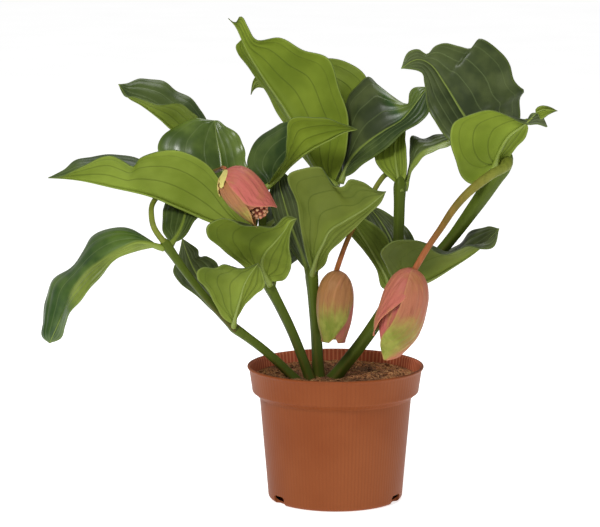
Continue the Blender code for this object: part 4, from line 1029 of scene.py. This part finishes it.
# %% Make the buds
BUDS = {
    "left": {"base": (-104, -53, 324), "tip": (-66, -62, 282), "radius": 18.5, "mouth": 0.72, "bracts": {
        "upper": {"reach": (0.0, 1.0), "layer": 1.04, "rosy": (1.0, 0.8), "green": (0.0, 0.0),
                  "lift": (1.4, 0),
                  "margins": ((0.0, -20, 185), (0.25, -14, 182), (0.5, -14, 178), (0.72, -8, 172),
                              (0.86, 18, 160), (1.0, 62, 118))},
        "lower": {"reach": (0.0, 1.03), "layer": 1.0, "rosy": (0.2, 0.4), "green": (0.5, 0.6),
                  "margins": ((0.0, -185, 2), (0.25, -182, 0), (0.5, -178, -8), (0.72, -168, -22),
                              (0.88, -140, -42), (1.0, -96, -80))},
        "front": {"reach": (0.06, 0.78), "layer": 0.88, "rosy": (0.5, 0.8), "green": (0.0, 0.0),
                  "margins": ((0.0, -70, 80), (0.5, -70, 80), (0.85, -50, 60), (1.0, -10, 20))},
        "rear": {"reach": (0.06, 0.92), "layer": 0.9, "rosy": (0.8, 0.6), "green": (0.0, 0.0),
                 "margins": ((0.0, 110, 260), (0.5, 110, 260), (0.85, 130, 240), (1.0, 170, 200))}}},
    "middle": {"base": (1, -22, 225), "tip": (-2, -26, 157), "radius": 17.0, "mouth": 0.62, "bracts": {
        "left": {"reach": (0.0, 1.0), "layer": 1.04, "rosy": (0.1, 0.3), "green": (1.0, 0.6),
                 "lift": (0, 1.3),
                 "margins": ((0.0, -185, 70), (0.3, -180, 62), (0.6, -172, 46), (0.8, -150, 22),
                             (0.94, -110, -4), (1.0, -80, -24))},
        "right": {"reach": (0.0, 1.0), "layer": 0.98, "rosy": (0.85, 1.0), "green": (0.25, -0.6),
                  "margins": ((0.0, 0, 190), (0.3, 0, 186), (0.6, 0, 180), (0.8, 2, 160), (0.94, 8, 130),
                              (1.0, 20, 90))},
        "front": {"reach": (0.08, 0.95), "layer": 0.86, "rosy": (0.4, 0.5), "green": (1.0, 0.0),
                  "margins": ((0.0, -60, 60), (0.6, -60, 60), (0.85, -50, 45), (1.0, -25, 15))},
        "rear": {"reach": (0.08, 0.97), "layer": 0.88, "rosy": (0.4, 0.9), "green": (0.6, 0.0),
                 "margins": ((0.0, 110, 250), (0.6, 120, 240), (0.85, 140, 230), (1.0, 165, 205))}}},
    "right": {"base": (70, -85, 237), "tip": (49, -90, 153), "radius": 21.0, "mouth": 0.28, "bracts": {
        "right": {"reach": (0.0, 1.02), "layer": 1.04, "rosy": (0.55, 0.8), "green": (0.9, -0.8),
                  "lift": (1.6, 0),
                  "margins": ((0.0, -12, 190), (0.2, -10, 186), (0.4, -12, 182), (0.6, -22, 172),
                              (0.8, -50, 140), (0.92, -70, 90), (1.0, -60, -30))},
        "left": {"reach": (0.0, 0.80), "layer": 1.0, "rosy": (0.45, 0.9), "green": (0.9, -0.4),
                 "flare": 0.14, "lift": (0, 1.6),
                 "margins": ((0.0, -190, 12), (0.2, -186, 8), (0.4, -180, -4), (0.6, -168, -32),
                             (0.8, -146, -56), (0.92, -122, -70), (1.0, -100, -88))},
        "front": {"reach": (0.08, 0.92), "layer": 0.86, "rosy": (1.0, 1.0), "green": (0.1, -0.5),
                  "margins": ((0.0, -110, 50), (0.5, -105, 40), (0.75, -95, 20), (0.9, -85, -10),
                              (1.0, -65, -45))},
        "rear": {"reach": (0.08, 0.9), "layer": 0.88, "rosy": (0.7, 0.7), "green": (0.6, 0.0),
                 "margins": ((0.0, 110, 250), (0.6, 110, 250), (0.85, 130, 235), (1.0, 170, 200))}}},
}
SCALES = {
    "upper_scale": {"reach": (-0.02, 0.19), "layer": 1.12, "rosy": (0.3, 0.3), "green": (0.0, 0.0),
                    "pale": 0.9,
                    "margins": ((0.0, -44, 34), (0.5, -44, 2), (0.8, -46, -18), (1.0, -44, -34))},
    "lower_scale": {"reach": (-0.02, 0.26), "layer": 1.12, "rosy": (0.3, 0.3), "green": (0.0, 0.0),
                    "pale": 0.6,
                    "margins": ((0.0, -120, -58), (0.5, -110, -62), (0.8, -104, -76), (1.0, -96, -86))},
}
bract_number = 0
for bud_name, bud in BUDS.items():
    for name, bract in bud["bracts"].items():
        bract_number += 1
        make_bract(bud_name, bud, name, bract, bract_number)
for name, scale in SCALES.items():
    bract_number += 1
    make_bract("left", BUDS["left"], name, scale, bract_number)
print("bracts and scales:", bract_number)

# %% [markdown]
# ## The flowers in the open bud
# The left bud has begun to open, and a cluster of round cream and pink flower buds fills its mouth.
# Small balls of a few sizes are set along a spiral over a dark heart, which spaces them evenly. The
# heart's dark red-brown is painted shade, showing through the gaps between the balls.

# %% Flower cluster
CLUSTER_CENTRE = (-73, -62, 289)
CLUSTER_RADIUS = 7.6
HEART_SHARE = 0.9
FLOWER_RADIUS = 2.0
FLOWER_COUNT = 34
GOLDEN_ANGLE = math.pi * (3 - math.sqrt(5))


def flower_skin():
    finish = Finish("flower_bud_skin", Subsurface_Weight=0.1)
    patch = finish.noise(finish.place(), 260.0)
    base = finish.mix(finish.fade(patch, 0.35, 0.65), colour(176, 98, 74), colour(214, 166, 118))
    finish.feed("Base Color", base)
    finish.feed("Roughness", patch * 0.2 + 0.35)
    return finish.material


# Painted shade: the heart's dark red-brown shows through the gaps between the flower buds.
def cluster_heart_shade():
    finish = Finish("cluster_heart_shade", Specular_IOR_Level=0.2, Roughness=0.7)
    patch = finish.noise(finish.place(), 300.0)
    finish.feed("Base Color", finish.mix(patch, colour(84, 34, 26), colour(132, 62, 46)))
    return finish.material


deselect()
bpy.ops.mesh.primitive_uv_sphere_add(segments=24, ring_count=16, radius=CLUSTER_RADIUS * HEART_SHARE * MM,
                                     location=Vector(CLUSTER_CENTRE) * MM)
cluster = bpy.context.object
cluster.name = "fine_flower_cluster"
skin = flower_skin()
cluster.data.materials.append(skin)
cluster.data.materials.append(cluster_heart_shade())
cluster.data.polygons.foreach_set("material_index", [1] * len(cluster.data.polygons))
flowers = [cluster]
for number in range(FLOWER_COUNT):
    height = 1 - 2 * (number + 0.5) / FLOWER_COUNT
    ring = math.sqrt(1 - height * height)
    turn = number * GOLDEN_ANGLE
    way = Vector((ring * math.cos(turn), ring * math.sin(turn), height))
    place = Vector(CLUSTER_CENTRE) + way * CLUSTER_RADIUS
    size = FLOWER_RADIUS * (0.85 + 0.3 * ((number * 7) % 5) / 4)
    bpy.ops.mesh.primitive_ico_sphere_add(subdivisions=2, radius=size * MM, location=place * MM)
    flowers.append(bpy.context.object)
    flowers[-1].data.materials.append(skin)
deselect()
for flower in flowers:
    flower.select_set(True)
bpy.context.view_layer.objects.active = cluster
bpy.ops.object.join()
bpy.ops.object.transform_apply(location=True, rotation=True, scale=True)
finish_piece(cluster)
print("flower buds:", FLOWER_COUNT)

# %% [markdown]
# ## The pot
# The pot is moulded in one piece: a thin wall with a wide banded rim, a rolled lip, a rounded foot and
# three drainage notches. A profile drawn once and spun round the axis makes all of it but the notches,
# which are cut by blocks.

# %% Pot finish
FLUTE_COUNT = 124.0
BAND_FLARE = 0.149
INNER_WALL_REACH = (0.0634, 0.0638)
INNER_WALL_HEIGHT = (0.112, 0.117)


def pot_plastic():
    """Fluted outside; inside the flaring band the wall is painted paler and redder as painted light, with
    paler ribs.
    """
    finish = Finish("pot_plastic", Specular_IOR_Level=0.1)
    place = finish.place()
    parts = {axis: finish.node("ShaderNodeSeparateXYZ", None, {0: place}, output=axis) for axis in "XYZ"}
    angle = parts["Y"].math("ARCTAN2", parts["Y"], parts["X"])
    drawn = (angle * FLUTE_COUNT).math("SINE", angle * FLUTE_COUNT)
    worn = finish.noise(finish.scaled(place, (1.0, 1.0, 0.25)), 40.0)
    cloud = finish.noise(place, 9.0)
    base = finish.mix(finish.fade(cloud, 0.3, 0.7), colour(126, 64, 30), colour(138, 76, 41))
    base = finish.mix(finish.fade(drawn * worn, 0.1, 0.6) * 0.22, base, colour(110, 54, 28))
    square = parts["X"] * parts["X"] + parts["Y"] * parts["Y"]
    reach = square.math("SQRT", square) - parts["Z"] * BAND_FLARE
    # Painted light: the inner wall above the soil is made paler and redder, with paler ribs, where it is
    # lit.
    inside = (1 - finish.fade(reach, *INNER_WALL_REACH)) * finish.fade(parts["Z"], *INNER_WALL_HEIGHT)
    lit_ribbed_wall = finish.mix(finish.fade(drawn, 0.0, 0.8) * 0.6, colour(176, 88, 58), colour(222, 142, 104))
    base = finish.mix(inside, base, lit_ribbed_wall)
    finish.feed("Base Color", base)
    finish.feed("Roughness", cloud * 0.12 + 0.42)
    finish.feed("Normal", finish.bump(drawn * worn, 0.2, 0.0004))
    return finish.material


print("pot finish ready")

# %% [markdown]
# The profile runs down the outside from the lip to the middle of the foot, and up again inside. Spinning
# it needs no loop cuts, and every rounding is an arc with a radius of its own, as in the mould.

# %% The pot's profile, in millimetres
POT_HEIGHT = 130.0
LIP_RADIUS = 85.0
BAND_RADIUS = 83.1
BAND_FOOT_RADIUS = 80.3
BAND_HEIGHT = 25.0
BODY_TOP_RADIUS = 73.0
BODY_FOOT_RADIUS = 65.0
FOOT_RADIUS = 61.0
FOOT_ROUNDING = 5.0
POT_WALL = 1.6
POT_FLOOR = 2.0
LIP_ROUNDING = 1.3
STEP_ROUNDING = 2.4
NECK_ROUNDING = 2.6
POT_STEPS = 160
NOTCH_WIDTH = 17.0
NOTCH_HEIGHT = 8.5
NOTCH_DEPTH = 14.0
NOTCH_ROUNDING = 2.0
NOTCH_ANGLES = (-147.0, -27.0, 93.0)


def arc(centre, radius, start, end, count):
    """Points of a round corner in the profile's plane, angles in degrees."""
    turns = [math.radians(start + (end - start) * i / (count - 1)) for i in range(count)]
    return [(centre[0] + radius * math.cos(a), centre[1] + radius * math.sin(a)) for a in turns]


def pot_profile():
    foot_of_band = POT_HEIGHT - BAND_HEIGHT
    wall = POT_WALL
    heel_rounding = FOOT_ROUNDING - 1.0
    lip = arc((LIP_RADIUS - LIP_ROUNDING, POT_HEIGHT - LIP_ROUNDING), LIP_ROUNDING, 150, -60, 9)
    step = arc((BAND_FOOT_RADIUS - STEP_ROUNDING, foot_of_band + 1.4), STEP_ROUNDING, 0, -80, 6)
    neck = arc((BODY_TOP_RADIUS + NECK_ROUNDING, foot_of_band - 6.5), NECK_ROUNDING, 95, 180, 6)
    heel = arc((BODY_FOOT_RADIUS - heel_rounding, heel_rounding), heel_rounding, 0, -90, 7)
    outer = [
        *lip, (BAND_RADIUS, POT_HEIGHT - 4.2), (BAND_FOOT_RADIUS + 0.3, foot_of_band + 4),
        *step, *neck, (BODY_FOOT_RADIUS + 1.7, 25.0),
        *heel, (FOOT_RADIUS - 6, 0.0), (0.0, 0.0)]
    inner = [
        (0.0, POT_FLOOR), (FOOT_RADIUS - wall, POT_FLOOR),
        (BODY_FOOT_RADIUS - wall - 0.2, FOOT_ROUNDING), (BODY_TOP_RADIUS - wall, foot_of_band - 7.5),
        (BODY_TOP_RADIUS + 2.2 - wall, foot_of_band - 3.2), (BAND_FOOT_RADIUS - wall, foot_of_band + 1.0),
        (BAND_RADIUS - wall, POT_HEIGHT - 3.0)]
    return outer + inner


def spin_profile(name, profile, steps):
    """A ring of vertices laid on the profile and spun round the upright axis."""
    deselect()
    bpy.ops.mesh.primitive_circle_add(vertices=len(profile), fill_type="NOTHING")
    piece = bpy.context.object
    piece.name = name
    for vertex, (across, up) in zip(piece.data.vertices, profile):
        vertex.co = (across * MM, 0.0, up * MM)
    for edge in piece.data.edges:
        edge.select = all(piece.data.vertices[v].co.x == 0.0 for v in edge.vertices)
    for vertex in piece.data.vertices:
        vertex.select = False
    bpy.ops.object.mode_set(mode="EDIT")
    bpy.ops.mesh.select_mode(type="EDGE")
    bpy.ops.mesh.delete(type="EDGE")
    bpy.ops.mesh.select_mode(type="VERT")
    bpy.ops.mesh.select_all(action="SELECT")
    bpy.ops.mesh.spin(steps=steps, angle=2 * math.pi, center=(0, 0, 0), axis=(0, 0, 1))
    bpy.ops.mesh.select_all(action="SELECT")
    bpy.ops.mesh.remove_doubles(threshold=MERGE_DISTANCE)
    bpy.ops.mesh.normals_make_consistent(inside=False)
    bpy.ops.object.mode_set(mode="OBJECT")
    return piece


print("profile points:", len(pot_profile()))

# %% [markdown]
# The three notches let water out under the pot. Each is a block with bevelled edges, cut through the
# foot by a boolean, because the cut has to go cleanly through wall and floor at once.

# %% Turn the pot and cut its notches
pot = spin_profile("fine_pot", pot_profile(), POT_STEPS)
for notch_angle in NOTCH_ANGLES:
    turned = math.radians(notch_angle)
    reach = (BODY_FOOT_RADIUS + 1.0) * MM
    deselect()
    bpy.ops.mesh.primitive_cube_add(
        size=1.0, location=(reach * math.cos(turned), reach * math.sin(turned), 0.0),
        rotation=(0.0, 0.0, turned), scale=(NOTCH_DEPTH * MM, NOTCH_WIDTH * MM, 2 * NOTCH_HEIGHT * MM))
    block = bpy.context.object
    bpy.ops.object.transform_apply(location=True, rotation=True, scale=True)
    block.modifiers.new("rounded", "BEVEL").width = NOTCH_ROUNDING * MM
    bpy.ops.object.modifier_apply(modifier="rounded")
    select_only(pot)
    notch = pot.modifiers.new("notch", "BOOLEAN")
    notch.operation = "DIFFERENCE"
    notch.object = block
    bpy.ops.object.modifier_apply(modifier=notch.name)
    bpy.data.objects.remove(block, do_unlink=True)
pot.data.materials.clear()
pot.data.materials.append(pot_plastic())
finish_piece(pot)
bpy.ops.object.shade_smooth_by_angle(angle=math.radians(40))
print("pot faces:", len(pot.data.polygons))

# %% [markdown]
# ## The soil
# The mix is brown peat with light coir fibres, dark specks and papery bits. The broad lumps are relief
# on a disc; the fibres and crumbs are small separate shapes scattered on it, because they throw the
# little shadows that make soil look loose.

# %% Soil finish
SHADED_FRONT_DEPTHS = (-0.02, -0.06)


def soil_mix(name, low, high):
    """Grainy, with dark patches, and darker towards the pot's front as painted shade."""
    finish = Finish(name, Specular_IOR_Level=0.2)
    place = finish.place()
    grain = finish.noise(place, 480.0, 5.0, 0.7)
    patch = finish.noise(place, 90.0)
    base = finish.mix(finish.fade(grain, 0.30, 0.72), low, high)
    dark = finish.noise(place, 28.0)
    base = finish.mix(finish.fade(patch, 0.45, 0.75) * 0.5, base, colour(150, 104, 68))
    base = finish.mix(finish.fade(dark, 0.46, 0.60) * 0.6, base, colour(52, 34, 24))
    # Painted shade: the soil, its fibres and crumbs darken towards the pot's front.
    depth = finish.node("ShaderNodeSeparateXYZ", None, {0: place}, output="Y")
    front = finish.fade(depth, *SHADED_FRONT_DEPTHS)
    base = finish.mix(front * 0.6, base, colour(44, 28, 20))
    finish.feed("Base Color", base)
    finish.feed("Roughness", grain * 0.2 + 0.75)
    finish.feed("Normal", finish.bump(grain + patch, 0.8, 0.0015))
    return finish.material


print("soil finish ready")

# %% [markdown]
# The soil is a spun solid that fills the pot. Its top is a fan of rings, and sums of sines at three
# sizes lift the rings into lumps, which is quick, repeatable and needs no texture.

# %% Soil surface
SOIL_TOP = 119.0
SOIL_FOOT = 4.0
SOIL_RADIUS = 79.0
SOIL_RINGS = 60
SOIL_STEPS = 150


def soil_height(x, y):
    """The lumps of the soil's top, in millimetres above its level."""
    broad = math.sin(x * 0.19 + 1.0) * math.cos(y * 0.16) + 0.6 * math.sin(x * 0.33 - y * 0.29)
    small = math.sin(x * 0.83 + 2.0) * math.sin(y * 0.91) + 0.7 * math.sin(x * 1.37 + y * 1.13)
    fine = math.sin(x * 2.9 + y * 0.7) * math.sin(y * 3.3 - x * 0.4)
    rim = min(1.0, max(0.0, 1.0 - math.hypot(x, y) / SOIL_RADIUS) * 8)
    return (0.9 * broad + 0.55 * small + 0.3 * fine) * rim


soil_profile = [(radius, SOIL_TOP) for radius in np.linspace(0.0, SOIL_RADIUS, SOIL_RINGS)]
soil_profile += [(BAND_FOOT_RADIUS - 2.4, POT_HEIGHT - BAND_HEIGHT + 0.8), (BODY_TOP_RADIUS - 2.4, 101.0),
                 (FOOT_RADIUS - 6.0, SOIL_FOOT), (0.0, SOIL_FOOT)]
soil = spin_profile("fine_soil", soil_profile, SOIL_STEPS)
for vertex in soil.data.vertices:
    if vertex.co.z > (SOIL_TOP - 0.1) * MM:
        vertex.co.z += soil_height(vertex.co.x / MM, vertex.co.y / MM) * MM
soil.data.materials.append(soil_mix("soil_mix", colour(66, 40, 26), colour(204, 132, 80)))
print("soil faces:", len(soil.data.polygons))

# %% [markdown]
# Fibres and crumbs number in the hundreds, so each kind is one mesh of very simple shapes. Their vertices
# are worked out directly, because adding so many primitives one by one would be slow. The drawing of
# random numbers starts from a fixed seed, so the soil comes out the same each time.

# %% Fibres and crumbs
FIBRE_COUNT = 900
FIBRE_RINGS = 5
CRUMB_COUNT = 700
SOIL_BORDER = 4
draw = np.random.default_rng(7)


def scattered(count, reach):
    """Places spread evenly over the soil, out to the reach in millimetres."""
    angles = draw.uniform(0, 2 * math.pi, count)
    distances = reach * np.sqrt(draw.uniform(0, 1, count))
    return np.stack([distances * np.cos(angles), distances * np.sin(angles)], axis=1)


def loose_shapes(name, places, faces):
    """One piece from the places, in millimetres, and the faces of many small shapes."""
    mesh = bpy.data.meshes.new(name)
    mesh.from_pydata([tuple(v * MM for v in place) for place in places], [], faces)
    made = bpy.data.objects.new(name, mesh)
    bpy.context.scene.collection.objects.link(made)
    return made


def fibres():
    """Short bent strands as one mesh of thin three-sided tubes."""
    places, faces = [], []
    for x, y in scattered(FIBRE_COUNT, SOIL_RADIUS - SOIL_BORDER):
        heading = draw.uniform(0, 2 * math.pi)
        length = draw.uniform(4.0, 13.0)
        bend = draw.uniform(-1.2, 1.2)
        radius = draw.uniform(0.2, 0.5)
        rise = draw.uniform(0.2, 2.2)
        start = len(places)
        for step in range(FIBRE_RINGS):
            share = step / (FIBRE_RINGS - 1)
            way = heading + bend * (share - 0.5)
            px = x + length * (share - 0.5) * math.cos(way)
            py = y + length * (share - 0.5) * math.sin(way)
            inside = min(1.0, (SOIL_RADIUS - 1.5) / math.hypot(px, py))
            px, py = px * inside, py * inside
            pz = SOIL_TOP + soil_height(px, py) + 0.2 + rise * math.sin(math.pi * share) * 0.6
            thin = radius * (1 - 0.6 * abs(2 * share - 1))
            for corner in range(3):
                turn = corner * 2 * math.pi / 3
                out = thin * math.cos(turn)
                rim = pz + thin * math.sin(turn)
                places.append((px - out * math.sin(way), py + out * math.cos(way), rim))
        for step in range(FIBRE_RINGS - 1):
            a = start + step * 3
            for corner in range(3):
                b = (corner + 1) % 3
                faces.append((a + corner, a + b, a + 3 + b, a + 3 + corner))
        end = start + 3 * (FIBRE_RINGS - 1)
        faces.append((start + 2, start + 1, start))
        faces.append((end, end + 1, end + 2))
    return loose_shapes("soil_fibres", places, faces)


def crumbs():
    """Flattened little clods and papery bits, each a squashed ball."""
    deselect()
    bpy.ops.mesh.primitive_ico_sphere_add(subdivisions=1, radius=1.0)
    one = bpy.context.object
    form = np.array([vertex.co for vertex in one.data.vertices])
    corners = [tuple(polygon.vertices) for polygon in one.data.polygons]
    bpy.data.objects.remove(one, do_unlink=True)
    places, faces = [], []
    for x, y in scattered(CRUMB_COUNT, SOIL_RADIUS - SOIL_BORDER):
        size = draw.uniform(0.7, 2.4)
        stretch = np.array((1.0, draw.uniform(0.5, 0.9), draw.uniform(0.3, 0.7))) * size
        turn = draw.uniform(0, 2 * math.pi)
        rough = form * (1 + draw.uniform(-0.25, 0.25, (len(form), 1))) * stretch
        across = rough[:, 0] * math.cos(turn) - rough[:, 1] * math.sin(turn)
        deep = rough[:, 0] * math.sin(turn) + rough[:, 1] * math.cos(turn)
        spun = np.stack([across, deep, rough[:, 2]], axis=1)
        start = len(places)
        places.extend(spun + (x, y, SOIL_TOP + soil_height(x, y) + size * 0.25))
        faces.extend(tuple(start + corner for corner in face) for face in corners)
    return loose_shapes("soil_crumbs", places, faces)


strands = fibres()
strands.data.materials.append(soil_mix("coir_fibre", colour(150, 98, 58), colour(236, 184, 126)))
clods = crumbs()
clods.data.materials.append(soil_mix("soil_crumb", colour(50, 32, 22), colour(170, 112, 68)))
for bit in (strands, clods):
    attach(bit, BODY)
finish_piece(soil)
print("fibres:", FIBRE_COUNT, "crumbs:", CRUMB_COUNT)

# %% [markdown]
# ## The studio
# A pale sweep of floor and three big soft lamps give the even, nearly shadowless light of a plant
# catalogue: a broad key from the upper left, a weaker fill from the right and a light from above
# behind that edges the dark leaves. The floor glows a little, so that it stays white behind the plant,
# and the Standard view keeps the colours as they are painted.

# %% Floor, lamps and surroundings
FLOOR_GLOW = 0.74
FLOOR_SIZE = 60.0
FLOOR_PLACE = (0.0, 20.0, -0.0004)
SURROUNDINGS_STRENGTH = 0.32


def floor_paint():
    finish = Finish("floor_paint", Specular_IOR_Level=0.0, Emission_Strength=FLOOR_GLOW)
    mottle = finish.noise(finish.place(), 3.0)
    paint = finish.mix(mottle, colour(244, 244, 244), colour(250, 250, 250))
    finish.feed("Base Color", paint)
    finish.feed("Emission Color", paint)
    finish.feed("Roughness", mottle * 0.1 + 0.85)
    return finish.material


deselect()
bpy.ops.mesh.primitive_plane_add(size=FLOOR_SIZE, location=FLOOR_PLACE)
floor = bpy.context.object
floor.name = "floor"
floor.data.materials.append(floor_paint())


def lamp(name, place, aim, size, power):
    data = bpy.data.lights.new(name, "AREA")
    data.shape = "DISK"
    data.size = size
    data.energy = power
    made = bpy.data.objects.new(name, data)
    made.location = place
    made.rotation_euler = (Vector(aim) - Vector(place)).to_track_quat("-Z", "Y").to_euler()
    bpy.context.scene.collection.objects.link(made)


LAMP_AIM = (0.0, 0.0, 0.25)
lamp("key lamp", (-0.9, -1.9, 2.0), LAMP_AIM, 0.8, 43.0)
lamp("fill lamp", (1.8, -1.6, 0.9), LAMP_AIM, 1.4, 7.0)
lamp("top lamp", (0.3, 0.9, 1.9), LAMP_AIM, 1.2, 12.0)

world = bpy.data.worlds.new("surroundings")
world.use_nodes = True
background = world.node_tree.nodes["Background"]
background.inputs["Color"].default_value = (1.0, 1.0, 1.0, 1.0)
background.inputs["Strength"].default_value = SURROUNDINGS_STRENGTH
bpy.context.scene.world = world
bpy.context.scene.view_settings.view_transform = "Standard"
print("studio ready")
